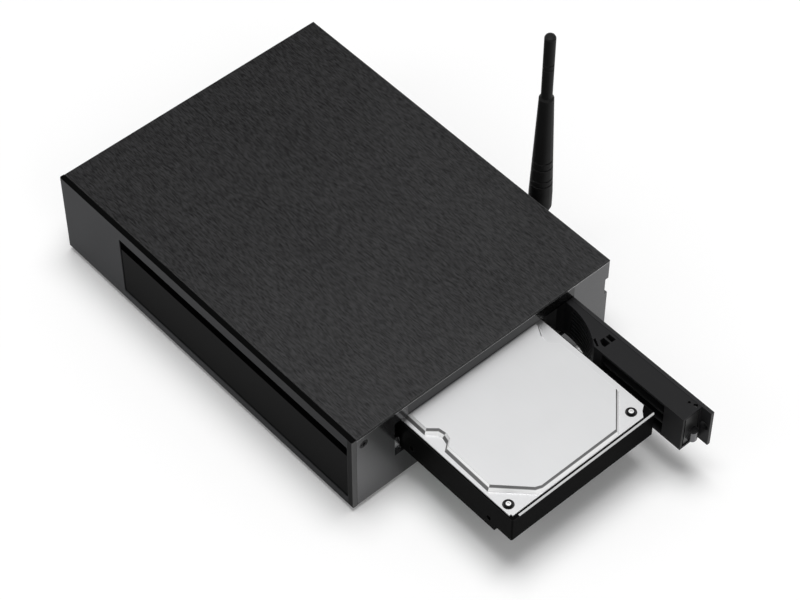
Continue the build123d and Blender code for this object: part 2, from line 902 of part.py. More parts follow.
def heat_sink():
    """Finned cooler seated on the processor."""
    low = board_top + chip_height
    half = cooler_size / 2
    cooler = block(chip_x - half, chip_x + half, chip_y - half, chip_y + half, low, low + cooler_base)
    pitch = (cooler_size - fin_thickness) / (fin_count - 1)
    for fin in range(fin_count):
        x = chip_x - half + fin * pitch
        cooler += block(x, x + fin_thickness, chip_y - half, chip_y + half, low, low + cooler_height)
    return cooler


def wifi_module():
    """Shielded radio module with its aerial socket on top."""
    high = board_top + radio_height
    half = radio_width / 2
    module = block(radio_x - half, radio_x + half, radio_y0, radio_y1, board_top, high)
    return module + rod((lead_x, lead_y, high), (0, 0, 1), lead_socket_radius, lead_socket_height)


# ---- Rear sockets ----
def socket_shell(x, width, height, depth):
    """A socket's block at the rear edge of the board."""
    return block(x - width / 2, x + width / 2, y_rear - depth, y_rear, board_top, board_top + height)


def mouth(x, width, low, high, depth):
    """The cutter of a socket's mouth, its heights counted from the board."""
    return block(
        x - width / 2, x + width / 2, y_rear - depth, y_rear + 1, board_top + low, board_top + high
    )


def tongue(x, width, low, high, depth):
    """The contact tongue inside a mouth, its heights counted from the board."""
    return block(
        x - width / 2, x + width / 2, y_rear - depth, y_rear - tongue_setback,
        board_top + low, board_top + high,
    )


def video_sockets():
    """Two digital video sockets."""
    sockets = []
    for x in video_xs:
        shell = socket_shell(x, video_width, video_height, video_depth)
        shell -= mouth(x, video_width - 1.0, 0.7, video_height - 0.7, video_depth - 3.0)
        sockets.append(shell + tongue(x, video_width - 4.6, 3.0, 4.0, video_depth - 3.0))
    return group(sockets)


def usb_socket():
    """Two stacked serial bus sockets."""
    shell = socket_shell(usb_x, usb_width, usb_height, usb_depth)
    for low in (1.0, 8.6):
        shell -= mouth(usb_x, usb_width - 1.2, low, low + 5.2, usb_depth - 3.0)
        shell += tongue(usb_x, usb_width - 2.4, low + 2.9, low + 4.8, usb_depth - 3.0)
    return shell


def ethernet_socket():
    """Network socket."""
    shell = socket_shell(network_x, network_width, network_height, network_depth)
    return shell - mouth(network_x, network_width - 4.2, 2.4, network_height - 2.8, network_depth - 4.5)


def optical_socket():
    """Optical audio socket, its shutter closed behind the mouth."""
    shell = socket_shell(optical_x, optical_width, optical_height, optical_depth)
    return shell - mouth(optical_x, optical_width - 2.5, 1.6, optical_height - 1.4, 1.2)


def audio_jack():
    """Analogue jack: a block with a 3.6 mm bore."""
    body = socket_shell(jack_x, jack_width, jack_width, jack_depth)
    z = board_top + jack_width / 2
    return body - rod((jack_x, y_rear - jack_bore_depth, z), (0, 1, 0), jack_bore_radius, through)


def power_inlet():
    """Round low voltage inlet with its centre pin."""
    body = socket_shell(inlet_x, inlet_width, inlet_height, inlet_depth)
    floor_point = (inlet_x, y_rear - inlet_mouth_depth, board_top + inlet_height / 2 + 0.5)
    body -= rod(floor_point, (0, 1, 0), inlet_mouth_radius, through)
    return body + rod(floor_point, (0, 1, 0), inlet_pin_radius, inlet_mouth_depth - tongue_setback)


# ---- Power switch ----
def switch_block(grow, y0, y1):
    """The switch body's outline, grown or shrunk, between two depths."""
    half_x, half_z = switch_width / 2 + grow, switch_height / 2 + grow
    return block(switch_x - half_x, switch_x + half_x, y0, y1, switch_z - half_z, switch_z + half_z)


def switch_housing():
    """Snap-in switch housing with a bezel outside the rear panel and a trunnion bore."""
    body = switch_block(0, y_rear - switch_depth, y_rear)
    bezel = switch_block(switch_bezel, y_rear, y_rear + switch_bezel_depth)
    body += chamfer(bezel.faces().sort_by(Axis.Y)[-1].edges(), 0.6)
    body -= switch_block(-switch_wall, y_rear - switch_hollow, y_rear + 3)
    outer = switch_width / 2 - switch_wall + 0.1
    inner = rocker_width / 2 + rocker_side_gap
    y0 = y_rear - rocker_axis_depth - trunnion_block / 2
    half = trunnion_block_height / 2
    for side in (-1, 1):
        x0, x1 = sorted((switch_x + side * inner, switch_x + side * outer))
        body += block(x0, x1, y0, y0 + trunnion_block, switch_z - half, switch_z + half)
    bore_point = (switch_x - switch_width, y_rear - rocker_axis_depth, switch_z)
    return body - rod(bore_point, (1, 0, 0), rocker_pin_radius + bearing_clearance, switch_width * 2)


def power_rocker():
    """Rocker, tilted to its off position, with its trunnion pins."""
    half = rocker_height / 2
    slope = math.tan(math.radians(rocker_angle))
    back, shoulder, nose, dip = -rocker_depth / 2, 1.8, 3.8 - half * slope / 2, 3.2
    outline = [(back, -half * 0.6), (shoulder, -half), (nose, -half), (dip, 0)]
    outline += [(nose, half), (shoulder, half), (back, half * 0.6)]
    face = make_face(Plane.YZ * Polyline(*outline, close=True))
    key = Pos(-rocker_width / 2, 0, 0) * extrude(face, rocker_width, dir=(1, 0, 0))
    reach = rocker_width / 2 + 1.3
    key += rod((-reach, 0, 0), (1, 0, 0), rocker_pin_radius, reach * 2)
    return Pos(switch_x, y_rear - rocker_axis_depth, switch_z) * Rot(rocker_angle, 0, 0) * key


# ---- Drive cage ----
def drive_cage():
    """Folded cage: floor, two guide walls, the wall that carries the drive's socket."""
    cage = block(cage_end - sheet, x_tray, cage_front, cage_rear, cage_floor_low, cage_floor_top)
    foot_end = cage_rear + bracket_foot
    cage += block(bracket_x, x_tray, cage_rear, foot_end, cage_floor_low, cage_floor_top)
    outer_front, outer_rear = cage_wall_front - sheet, cage_wall_rear + sheet
    for y0 in (outer_front, cage_wall_rear):
        cage += block(cage_end, cage_wall_end, y0, y0 + sheet, cage_floor_low, cage_wall_top)
    cage += block(cage_end - sheet, cage_end, outer_front, outer_rear, cage_floor_low, cage_wall_top)
    for y in (drive_front + cage_notch, drive_rear - cage_notch):
        cage -= block(
            cage_end - sheet - 1, cage_end + 1, y - cage_notch / 2, y + cage_notch / 2,
            cage_wall_top - cage_notch_depth, cage_wall_top + 1,
        )
    half = cable_width / 2 + 1
    cage -= block(
        cage_end - sheet - 1, cage_end + 1, -half, half, plug_z - plug_height / 2, cage_wall_top + 1
    )
    for x, y in spacer_points + bracket_screw_points:
        cage -= screw_hole((x, y, cage_floor_low - 1), (0, 0, 1), sheet + 2)
    return cage - rod((pivot_x, pivot_y, cage_floor_low - 1), (0, 0, 1), pin_radius + pin_clearance, 4)


def cage_spacers():
    """Four pillars from the tray up to the cage floor."""
    inner = screw_radius + hole_clearance
    rise = cage_floor_low - z_floor
    return group(
        ring((x, y, z_floor), (0, 0, 1), cage_spacer_radius, inner, rise) for x, y in spacer_points
    )


def slide_runners():
    """Low-friction runners: an upright liner and a sole on each side of the drive."""
    runners = []
    x0 = cage_end + 1
    for side in (-1, 1):
        edge = drive_centre_y + side * (drive_width / 2 + bay_side_gap)
        outer = edge + side * runner_thickness
        inner = edge - side * runner_sole_width
        runner = block(x0, cage_wall_end, *sorted((edge, outer)), cage_floor_top, cage_wall_top - 4)
        sole_top = cage_floor_top + runner_sole
        runner += block(x0, cage_wall_end, *sorted((inner, outer)), cage_floor_top, sole_top)
        runners.append(runner)
    return group(runners)


def backplane():
    """Upright board at the inner end of the bay, with the plug shell for its cable."""
    y0, y1 = drive_front + backplane_inset, drive_rear - backplane_inset
    x0, x1 = backplane_x, backplane_x + backplane_thickness
    board = block(x0, x1, y0, y1, cage_floor_top, cage_floor_top + backplane_height)
    half = cable_width / 2
    low, high = plug_z - plug_height / 2 + 0.3, plug_z + plug_height / 2 - 0.3
    return board + block(cage_end - 4, x0, -half, half, low, high)


def sata_tongues():
    """The two contact tongues' spans along Y: power, then signal."""
    low = sata_y - sata_width / 2 + 3.0
    middle = low + sata_tongue_lengths[0] + sata_tongue_gap
    return [(low, low + sata_tongue_lengths[0]), (middle, middle + sata_tongue_lengths[1])]


def sata_socket():
    """Socket on the backplane that the drive plugs into when it is home."""
    x1 = drive_seat_in + sata_depth - sata_fit * 2
    half = sata_width / 2 - sata_fit
    low, high = sata_low + sata_fit, sata_low + sata_height - sata_fit
    socket = block(backplane_x + backplane_thickness, x1, sata_y - half, sata_y + half, low, high)
    slot_half = sata_tongue_thickness / 2 + 0.3
    middle = sata_low + sata_height / 2
    for y0, y1 in sata_tongues():
        socket -= block(x1 - 5.2, x1 + 1, y0 - 0.4, y1 + 0.4, middle - slot_half, middle + slot_half)
    return socket


# ---- Hinge ----
def hinge_bracket():
    """Bracket behind the door's swing: foot on the cage floor, wall, and an ear over the door."""
    high = bracket_low + sheet
    x0, x1 = bracket_x, x_tray - 0.2
    foot_end = cage_rear + bracket_foot
    bracket = block(x0, x1, cage_rear - sheet, cage_rear, cage_floor_top, high)
    bracket += block(x0, x1, cage_rear, foot_end, cage_floor_top, cage_floor_top + sheet)
    bracket += block(x0, x1, pivot_y - barrel_radius - 2, cage_rear, bracket_low, high)
    for x, y in bracket_screw_points:
        bracket -= screw_hole((x, y, cage_floor_top - 1), (0, 0, 1), sheet + 2)
    return bracket - rod((pivot_x, pivot_y, bracket_low - 1), (0, 0, 1), pin_radius + pin_clearance, 4)


def hinge_pin():
    """Hinge pin: dropped through the ear, the door and the cage floor."""
    low = cage_floor_low - pin_tail
    high = bracket_low + sheet
    pin = rod((pivot_x, pivot_y, low), (0, 0, 1), pin_radius, high - low)
    head = rod((pivot_x, pivot_y, high), (0, 0, 1), pin_radius + 1.4, pin_head_height)
    groove_point = (pivot_x, pivot_y, low + pin_tail / 2 - clip_thickness / 2 - 0.05)
    groove = ring(groove_point, (0, 0, 1), pin_radius + 1, pin_radius - 0.5, clip_thickness + 0.1)
    return pin + head - groove


def hinge_clip():
    """Open clip in the pin's groove, under the cage floor."""
    low = cage_floor_low - pin_tail / 2 - clip_thickness / 2
    clip = ring((pivot_x, pivot_y, low), (0, 0, 1), pin_radius + 1.8, pin_radius - 0.45, clip_thickness)
    return clip - block(pivot_x - 1.3, pivot_x + 1.3, pivot_y, pivot_y + 6, low - 1, low + 2)


def hinge_washers():
    """Washers under and over the door's barrel."""
    bore = pin_radius + pin_clearance
    outer = barrel_radius - 0.3
    lift = 0.05
    low = ring((pivot_x, pivot_y, cage_floor_top), (0, 0, 1), outer, bore, body_low - cage_floor_top - lift)
    high_point = (pivot_x, pivot_y, body_high + lift)
    return group([low, ring(high_point, (0, 0, 1), outer, bore, bracket_low - body_high - lift)])


# ---- Door, drawn open at a right angle to the side ----
def door_panel():
    """Outer plate of the door, flush with the side of the case when shut."""
    plate = block(door_root_x, door_tip_x, door_panel_y, door_face_y, panel_low, panel_high)
    corner = plate.edges().filter_by(Axis.Z).group_by(Axis.X)[0].sort_by(Axis.Y)[-1]
    plate = fillet(corner, door_corner)
    dent = Pos(door_tip_x - door_panel_overhang / 2, door_panel_y - 4.2, (panel_low + panel_high) / 2)
    return plate - dent * Sphere(5.0)


def scoop_point(x):
    """A point of the scoop's arc, in plan."""
    return x, scoop_y + math.sqrt(scoop_radius**2 - (x - scoop_x) ** 2)


def bar_plan():
    """The moulded bar's plan: web at the barrel, scoop, then the straight bar."""
    web_x = pivot_x - 6.5
    outline = [(web_x, door_panel_y), (web_x, pivot_y + 3.0)]
    outline += [(pivot_x - barrel_radius, pivot_y), (pivot_x + barrel_radius, pivot_y)]
    outline += [(pivot_x + 7.0, pivot_y + 5.0), (pivot_x + 11.0, scoop_point(scoop_x)[1])]
    scoop_end = bar_root_x - 2.6
    for step in range(scoop_steps + 1):
        outline.append(scoop_point(scoop_x + (scoop_end - scoop_x) * step / scoop_steps))
    outline += [(bar_root_x - 0.6, door_back_y), (bar_tip_x, door_back_y), (bar_tip_x, door_panel_y)]
    return outline


def scoop_grooves():
    """Cutters of the grooves around the scoop."""
    bands = []
    for groove in range(scoop_groove_count):
        z = body_low + scoop_groove_low + groove * scoop_groove_pitch
        outer, inner = scoop_radius + scoop_groove_depth, scoop_radius - 1
        band = ring((scoop_x, scoop_y, z), (0, 0, 1), outer, inner, scoop_groove_height)
        bands.append(
            band & block(
                scoop_x + 2, bar_root_x - 4.1, scoop_y, door_panel_y - 1.2, z, z + scoop_groove_height
            )
        )
    return bands


def bar_hollow():
    """Cutter of the bar's open back, with stiffening ribs left standing."""
    x0, x1 = bar_root_x + 5.0, bar_tip_x - latch_pocket_length + 9.5
    z0, z1 = body_low + door_wall, body_high - door_wall
    floor_y = door_back_y + bar_hollow_depth
    hollow = block(x0, x1, door_back_y - 1, floor_y, z0, z1)
    for rib in range(1, bar_rib_count + 1):
        z = z0 + (z1 - z0) * rib / (bar_rib_count + 1)
        half = bar_rib_thickness / 2
        hollow -= block(x0, x1, door_back_y + 0.8, floor_y, z - half, z + half)
    return hollow


def top_pockets():
    """Cutters of the pockets, slot, hole and corner recess in the bar's top."""
    low, high = body_high - pocket_depth, body_high + 1
    cutters = [prism(outline, low, high) for outline in pocket_outlines]
    cutters.append(rod((*pocket_hole, low), (0, 0, 1), pocket_hole_radius, pocket_depth + 1))
    cutters.append(prism(corner_recess, body_high - corner_recess_depth, high))
    return [Pos(pivot_x, pivot_y, 0) * cutter for cutter in cutters]


def door_body():
    """Moulded bar behind the panel: barrel, thin web, ribbed scoop, hollow bar, latch pocket."""
    body = prism(bar_plan(), body_low, body_high)
    body += rod((pivot_x, pivot_y, body_low), (0, 0, 1), barrel_radius, body_high - body_low)
    bore = pin_radius + pin_clearance
    body -= rod((pivot_x, pivot_y, body_low - 1), (0, 0, 1), bore, body_high - body_low + 2)
    for cutter in scoop_grooves() + [bar_hollow()] + top_pockets():
        body -= cutter
    body -= block(
        bar_tip_x - latch_pocket_length + 12.0, bar_tip_x + 1,
        door_back_y + door_wall, door_panel_y - 1.0, body_low + door_wall, body_high - door_wall,
    )
    for x in door_stud_xs:
        hole_y = door_panel_y - door_stud_length - 0.2
        body -= rod((x, hole_y, body_middle), (0, 1, 0), door_stud_radius + 0.05, door_stud_length + 1)
    return body


def door_studs():
    """Studs that fix the panel to the bar."""
    y = door_panel_y - door_stud_length
    return group(
        rod((x, y, body_middle), (0, 1, 0), door_stud_radius, door_stud_length) for x in door_stud_xs
    )


# ---- Latch ----
def bolt_block(grow_y, grow_z, x0, x1):
    """The bolt's section, grown, between two places along the bar."""
    half_y, half_z = bolt_width / 2 + grow_y, bolt_height / 2 + grow_z
    return block(x0, x1, bolt_y - half_y, bolt_y + half_y, bolt_z - half_z, bolt_z + half_z)


def latch_frame():
    """Metal frame in the bar's open end: two walls, a floor and a bored front plate."""
    z0 = body_low + door_wall + latch_fit
    z1 = body_high - door_wall - latch_fit
    frame = block(latch_x0, latch_x1, latch_y0, latch_y1, z0, z1)
    frame -= block(
        latch_x0 + latch_wall, latch_x1 - latch_wall, latch_y0 + 1.0, latch_y1 - 1.0, z0 + 1.0, z1 - 1.5
    )
    return frame - bolt_block(bolt_clearance, bolt_clearance, latch_x1 - latch_wall - 1, latch_x1 + 1)


def latch_bolt():
    """Sprung bolt with a nose rounded on both sides and a collar inside the frame."""
    bolt = bolt_block(0, 0, bolt_back_x, latch_x1 + bolt_reach)
    nose = bolt.edges().filter_by(Axis.Z).group_by(Axis.X)[-1]
    bolt = fillet(nose, bolt_width * 0.42)
    collar_end = bolt_back_x + bolt_collar
    return bolt + bolt_block(bolt_collar_side, bolt_collar_rise, bolt_back_x, collar_end)


def latch_spring():
    """Coil spring between the frame's back and the bolt's collar."""
    start_x = latch_x0 + latch_wall + spring_wire + spring_seat
    height = bolt_back_x - start_x - spring_wire - spring_seat
    helix = Helix(pitch=height / spring_turns, height=height, radius=spring_radius)
    start = Plane(origin=helix @ 0, z_dir=helix % 0)
    coil = sweep(start * Circle(spring_wire), path=helix, is_frenet=True)
    return place(coil, (start_x, bolt_y, bolt_z), (1, 0, 0))


def door_striker():
    """Plate behind the front jamb: a tongue that the bolt snaps behind, and a stop strip above."""
    x0, x1 = x_inner - striker_thickness, x_inner
    high = opening_high - 0.8
    plate = block(x0, x1, opening_front - striker_foot, opening_front, cage_floor_top, high)
    tongue_top = opening_low + striker_tongue_height
    reach = opening_front + striker_tongue
    tab = block(x0, x1, opening_front - 1, reach, cage_floor_top, tongue_top)
    plate += fillet(tab.edges().filter_by(Axis.X).group_by(Axis.Y)[-1].group_by(Axis.Z)[-1], striker_corner)
    plate += block(x0, x1, opening_front - 1, opening_front + striker_strip, cage_floor_top, high)
    for y, z in striker_screw_points:
        plate -= screw_hole((x0 - 1, y, z), (1, 0, 0))
    return plate


# ---- Hard drive ----
def screw_socket(x, y):
    """Cutter of a cover screw's hole through the cover and into the casting."""
    length = cover_screw_length + 1.0
    radius = cover_screw_shank + bearing_clearance
    return rod((x, y, drive_rim - length), (0, 0, 1), radius, length + 1.0)


def drive_base():
    """Cast base: black sides, cavity above, recess for the board below, toe cut at the outer end."""
    w = drive_wall
    y0, y1 = drive_front + w, drive_rear - w
    base = block(drive_x_in, drive_x_out, drive_front, drive_rear, drive_bottom, drive_deck)
    base = fillet(base.edges().filter_by(Axis.Z), drive_corner)
    cavity = block(drive_x_in + w + sata_depth, drive_x_out - w, y0, y1, z_cavity, drive_deck + 1)
    base -= fillet(cavity.edges().filter_by(Axis.Z), cavity_corner)
    toe_x = drive_x_out - drive_toe
    base -= block(drive_x_in - 1, toe_x, y0, y1, drive_bottom - 1, drive_board_top)
    base -= block(toe_x, drive_x_out + 1, drive_front - 1, drive_rear + 1, drive_bottom - 1, drive_board_top)
    half = sata_width / 2
    base -= block(
        drive_x_in - 1, drive_x_in + sata_depth, sata_y - half, sata_y + half,
        drive_board_top - 1, sata_low + sata_height,
    )
    for inset in drive_hole_insets:
        for side in (-1, 1):
            point = (
                drive_x_out - inset,
                drive_centre_y + side * (drive_width / 2 + 1),
                drive_bottom + drive_hole_height,
            )
            base -= rod(point, (0, -side, 0), drive_hole_radius, drive_hole_depth + 1)
    for x, y in cover_screw_points:
        base -= screw_socket(x, y)
    stator_seat = (spindle_x, drive_centre_y, z_cavity)
    base += ring(stator_seat, (0, 0, 1), stator_radius + 1.2, stator_radius + 0.2, hub_rise - 0.4)
    foot = (actuator_x, actuator_y, z_cavity)
    base += rod(foot, (0, 0, 1), actuator_post_radius, drive_deck - z_cavity - 0.5)
    return base + rod(foot, (0, 0, 1), actuator_post_radius + 1.5, actuator_rise - bearing_clearance)


def plateau_outline(grow):
    """Outline of the cover's raised plateau, grown outwards by a distance."""
    x_out, x_in = drive_x_out - plateau_outer_inset + grow, drive_x_in + plateau_inner_inset - grow
    front, rear = drive_front + plateau_front_inset - grow, drive_rear - plateau_rear_inset + grow
    slant = grow * 0.41
    front_side = [
        (x_in + 15 + slant, front),
        (drive_x_out - 69.5 + slant, front),
        (drive_x_out - 65.0 + slant, front + 4.9),
        (drive_x_out - 60.5 - slant, front + 5.6),
        (drive_x_out - 56.4 - slant, front + 4.6),
        (drive_x_out - 53.3 - slant, front + 0.6),
        (drive_x_out - 21.9 + slant, front),
        (drive_x_out - 5.6 + grow, drive_front + 20.6 - slant),
        (x_out, drive_front + 24.0),
    ]
    rear_side = [
        (x_out, drive_rear - 25.0 + slant),
        (drive_x_out - 22.8 + slant, rear),
        (drive_x_out - 63.5 + slant, rear - 0.6),
        (drive_x_out - 68.5 - slant, rear - 5.4),
        (drive_x_out - 74.5 + slant, rear - 4.6),
        (drive_x_out - 80.5 + slant, rear - 1.2),
        (x_in + 15 + slant, rear),
        (x_in, rear - 15 - slant),
        (x_in, front + 15 + slant),
    ]
    return front_side + rear_side


def plateau(low_grow, low_z, high_grow, high_z):
    """The plateau's tapered block between two heights."""
    low = Polyline(*[(x, y, low_z) for x, y in plateau_outline(low_grow)], close=True)
    high = Polyline(*[(x, y, high_z) for x, y in plateau_outline(high_grow)], close=True)
    return loft([make_face(low), make_face(high)], ruled=True)


def drive_cover():
    """Pressed cover: flat rim, bevel and plateau, its outer rear corner cut away."""
    x0, x1 = drive_x_in + cover_inset, drive_x_out - cover_inset - cover_groove
    y0, y1 = drive_front + cover_inset, drive_rear - cover_inset
    notch, cut = cover_groove, cover_chamfer
    outline = [(x0, y0), (x1 - notch, y0), (x1 - notch, y0 + notch), (x1, y0 + notch)]
    outline += [(x1, y1 - cut * 1.8), (x1 - cut, y1 - cut), (x1 - cut * 1.7, y1), (x0, y1)]
    cover = prism(outline, drive_deck, drive_rim)
    cover += plateau(cover_bevel, drive_rim - 0.02, 0, drive_top)
    inner = cover_skin + 0.1
    cover -= plateau(cover_bevel - 1.0, drive_deck - 1, -inner, drive_top - cover_skin)
    for x, y in cover_screw_points:
        cover -= screw_socket(x, y)
        cover -= rod((x, y, drive_rim - cover_screw_sink), (0, 0, 1), cover_screw_recess, cover_rise)
    return cover


def drive_cover_screws():
    """Four screws with round sockets that hold the cover."""
    screws = []
    seat = drive_rim - cover_screw_sink
    for x, y in cover_screw_points:
        screw = rod((x, y, seat), (0, 0, 1), cover_screw_radius, cover_screw_head)
        screw += rod((x, y, seat), (0, 0, -1), cover_screw_shank, cover_screw_length)
        screws.append(screw - rod((x, y, seat + cover_screw_sink), (0, 0, 1), cover_screw_socket, through))
    return group(screws)


def drive_platters():
    """Disks, the hub through them and the clamp on top, bored for the spindle."""
    hub_point = (spindle_x, drive_centre_y, z_cavity + hub_rise)
    stack = rod(hub_point, (0, 0, 1), hub_radius, stack_top - hub_rise)
    for disk in range(platter_count):
        z = z_cavity + first_disk_rise + disk * platter_pitch
        stack += rod((spindle_x, drive_centre_y, z), (0, 0, 1), platter_radius, platter_thickness)
    return stack - rod(hub_point, (0, 0, 1), spindle_radius + bearing_clearance, 4.0)


def spindle_motor():
    """Fixed stator and the shaft that the hub turns on."""
    foot = (spindle_x, drive_centre_y, z_cavity)
    motor = rod(foot, (0, 0, 1), stator_radius, hub_rise - 0.3)
    return motor + rod(foot, (0, 0, 1), spindle_radius, hub_rise + 3.8)


def head_actuator():
    """Arm stack with its voice coil, parked off the disks; each arm runs between two disks."""
    height = stack_top - actuator_rise
    stack = rod((0, 0, actuator_rise), (0, 0, 1), actuator_hub_radius, height)
    gap = platter_pitch - platter_thickness
    half, tip = arm_root_half, arm_tip_half
    for level in range(platter_count + 1):
        z = first_disk_rise - gap + (gap - arm_thickness) / 2 + level * platter_pitch
        arm = [(arm_root, -half), (arm_length, -tip), (arm_length, tip), (arm_root, half)]
        stack += prism(arm, z, z + arm_thickness)
    coil_low = actuator_rise + coil_rise
    coil = [(-arm_root, -coil_neck_half), (-coil_shoulder, -coil_half), (-coil_reach, 0)]
    coil += [(-coil_shoulder, coil_half), (-arm_root, coil_neck_half)]
    stack += prism(coil, coil_low, coil_low + coil_thickness)
    stack -= rod((0, 0, 0), (0, 0, 1), actuator_post_radius + bearing_clearance, height * 2)
    return Pos(actuator_x, actuator_y, z_cavity) * Rot(0, 0, park_angle) * stack


def coil_magnets():
    """Lower magnet plate under the voice coil's whole travel."""
    plate = [(-magnet_near, -magnet_half), (-magnet_far, -magnet_half), (-magnet_far - magnet_bulge, 0)]
    plate += [(-magnet_far, magnet_half), (-magnet_near, magnet_half)]
    magnets = prism(plate, 0, actuator_rise + coil_rise - magnet_gap)
    return Pos(actuator_x, actuator_y, z_cavity) * Rot(0, 0, magnet_turn) * magnets


def drive_board():
    """Controller board in the recess under the drive."""
    inset = drive_wall + 0.6
    y0, y1 = drive_front + inset, drive_rear - inset
    x0, x1 = drive_x_in + sata_depth + 0.5, drive_x_out - drive_toe - 30.0
    low = drive_board_top - 1.4
    board = block(x0, x1, y0, y1, low, drive_board_top)
    return board + block(x0 + 40, x0 + 54, drive_centre_y - 7, drive_centre_y + 7, low - 1.2, low)


def drive_connector():
    """Connector block in the drive's inner end, with its two contact tongues."""
    half = sata_width / 2
    x0, x1 = drive_x_in + sata_depth - 1.0, drive_x_in + sata_depth
    plug = block(x0, x1, sata_y - half, sata_y + half, drive_board_top, sata_low + sata_height)
    middle = sata_low + sata_height / 2
    reach = sata_tongue_thickness / 2
    for y0, y1 in sata_tongues():
        plug += block(drive_x_in + 2.0, x0, y0, y1, middle - reach, middle + reach)
    return plug


# ---- Antenna ----
def antenna_connector():
    """Threaded connector through the rear panel, flanged inside."""
    face = (antenna_x, y_rear_panel, antenna_z)
    body = rod(face, (0, -1, 0), connector_flange_radius, connector_flange)
    body += rod(face, (0, -1, 0), connector_stem_radius, connector_flange + connector_stem)
    return body + rod(face, (0, 1, 0), connector_radius, sheet + connector_reach)


def antenna_nut():
    """Thin hexagon nut that clamps the connector to the rear panel."""
    blank = extrude(RegularPolygon(antenna_nut_across / 2, 6, major_radius=False), antenna_nut_height)
    nut = place(blank, (antenna_x, y_rear, antenna_z), (0, 1, 0))
    return nut - rod((antenna_x, y_rear - 1, antenna_z), (0, 1, 0), connector_radius + 0.02, 4)


def antenna_collar():
    """Knurled collar that turns on the connector, with the fork for the whip behind it."""
    collar = rod((0, 0, 0), (0, 1, 0), collar_radius, collar_length)
    ridge = rod((0, 1.2, collar_radius + 0.1), (0, 1, 0), collar_tooth_radius, collar_length - 2.4)
    for tooth in range(collar_teeth):
        collar -= Rot(0, tooth * 360 / collar_teeth, 0) * ridge
    axis_y = antenna_y - collar_y
    for side in (-1, 1):
        x0, x1 = sorted((side * antenna_ear_inner, side * antenna_ear_outer))
        half = antenna_fork_half
        collar += block(x0, x1, collar_length - 0.01, axis_y, -half, half)
        collar += rod((x0, axis_y, 0), (1, 0, 0), half, x1 - x0)
    collar -= rod((0, -1, 0), (0, 1, 0), connector_radius + 0.06, connector_reach)
    collar -= rod((-through, axis_y, 0), (1, 0, 0), antenna_pin_radius + antenna_pin_fit, through * 2)
    return Pos(antenna_x, collar_y, antenna_z) * collar


def antenna_pin():
    """Cross pin of the tilt joint."""
    start = (antenna_x - antenna_ear_outer, antenna_y, antenna_z)
    return rod(start, (1, 0, 0), antenna_pin_radius, antenna_ear_outer * 2)


def whip_profile():
    """Half outline of the whip, as radius and height: sleeve, ring grooves, slim tube, tip."""
    foot = antenna_z + antenna_foot_rise
    sleeve = foot + antenna_foot_length
    shoulder = antenna_top - antenna_tip_length
    points = [(0, foot), (antenna_foot_radius - 1.1, foot), (antenna_foot_radius, foot + 3)]
    points.append((antenna_foot_radius, sleeve))

    def sleeve_radius(z):
        share = (z - sleeve) / (shoulder - sleeve)
        return antenna_foot_radius + (antenna_shoulder_radius - antenna_foot_radius) * share

    for rise in sleeve_grooves:
        low = foot + rise
        high = low + sleeve_groove_width
        floor = sleeve_radius(low) - sleeve_groove_depth
        points += [(sleeve_radius(low), low), (floor, low + 0.2), (floor, high - 0.2)]
        points.append((sleeve_radius(high), high))
    points += [(antenna_shoulder_radius, shoulder), (antenna_tip_radius, shoulder + 1.2)]
    r = antenna_tip_radius
    floor = r - tube_groove_depth
    for drop in reversed(tube_grooves):
        low = antenna_top - drop
        points += [(r, low), (floor, low + 0.2), (floor, low + 0.8), (r, low + 1.0)]
    points += [(r, antenna_top - 1.6), (r - 0.5, antenna_top - 0.5)]
    return points + [(r - 1.5, antenna_top), (0, antenna_top)]


def antenna_whip():
    """Moulded whip: knuckle between the fork's ears, tapered sleeve, slim tube."""
    face = make_face(Plane.XZ * Polyline(*whip_profile(), close=True))
    whip = Pos(antenna_x, antenna_y, 0) * revolve(face, Axis.Z)
    half = knuckle_width / 2
    side_x = antenna_x - half
    whip += rod((side_x, antenna_y, antenna_z), (1, 0, 0), knuckle_radius, knuckle_width)
    neck = knuckle_radius - 0.2
    whip += block(
        side_x, side_x + knuckle_width, antenna_y - neck, antenna_y + neck,
        antenna_z, antenna_z + antenna_foot_rise + 0.1,
    )
    bore_start = (antenna_x - through, antenna_y, antenna_z)
    return whip - rod(bore_start, (1, 0, 0), antenna_pin_radius + pin_clearance, through * 2)


# ---- Cables that the case holds all the way ----
def flat_cable(points, plane, start):
    """A flat cable: a thin strip along a path drawn in a plane, extruded across its width."""
    strip = trace(Polyline(*points), cable_thickness)
    return plane.offset(start).location * extrude(strip, cable_width)


def display_cable():
    """Flat cable from the display board down and back to the main board."""
    start, end = display_y1 + plug_depth, board_front + 0.5
    low, middle = z_floor + cable_thickness, board_top + plug_height / 2
    path = [(start, tube_z), (start + 4, tube_z), (start + 4, low), (end - 4, low)]
    return flat_cable(path + [(end - 4, middle), (end, middle)], Plane.YZ, cable_x)


def backplane_cable():
    """Flat cable from the backplane down to the main board."""
    start, middle = cage_end - 4, board_top + plug_height / 2
    path = [(start, plug_z), (start - 2, plug_z), (start - 2, middle), (cage_end - cable_drop_gap, middle)]
    return flat_cable(path, Plane.XZ, -cable_width / 2)


def antenna_lead():
    """Thin coaxial lead from the radio module to the antenna connector."""
    low = board_top + radio_height + lead_socket_height + 0.2
    high = low + 3.8
    end_y = y_rear_panel - connector_flange - connector_stem - 0.2
    path = [
        (lead_x, lead_y, low),
        (lead_x, lead_y, high),
        (lead_x + 5, lead_y + 8, high),
        (antenna_x, end_y - 12.3, high + 1),
        (antenna_x, end_y - 6.3, antenna_z),
        (antenna_x, end_y, antenna_z),
    ]
    line = FilletPolyline(*path, radius=lead_bend)
    return sweep(Plane(origin=line @ 0, z_dir=line % 0) * Circle(lead_radius), path=line)


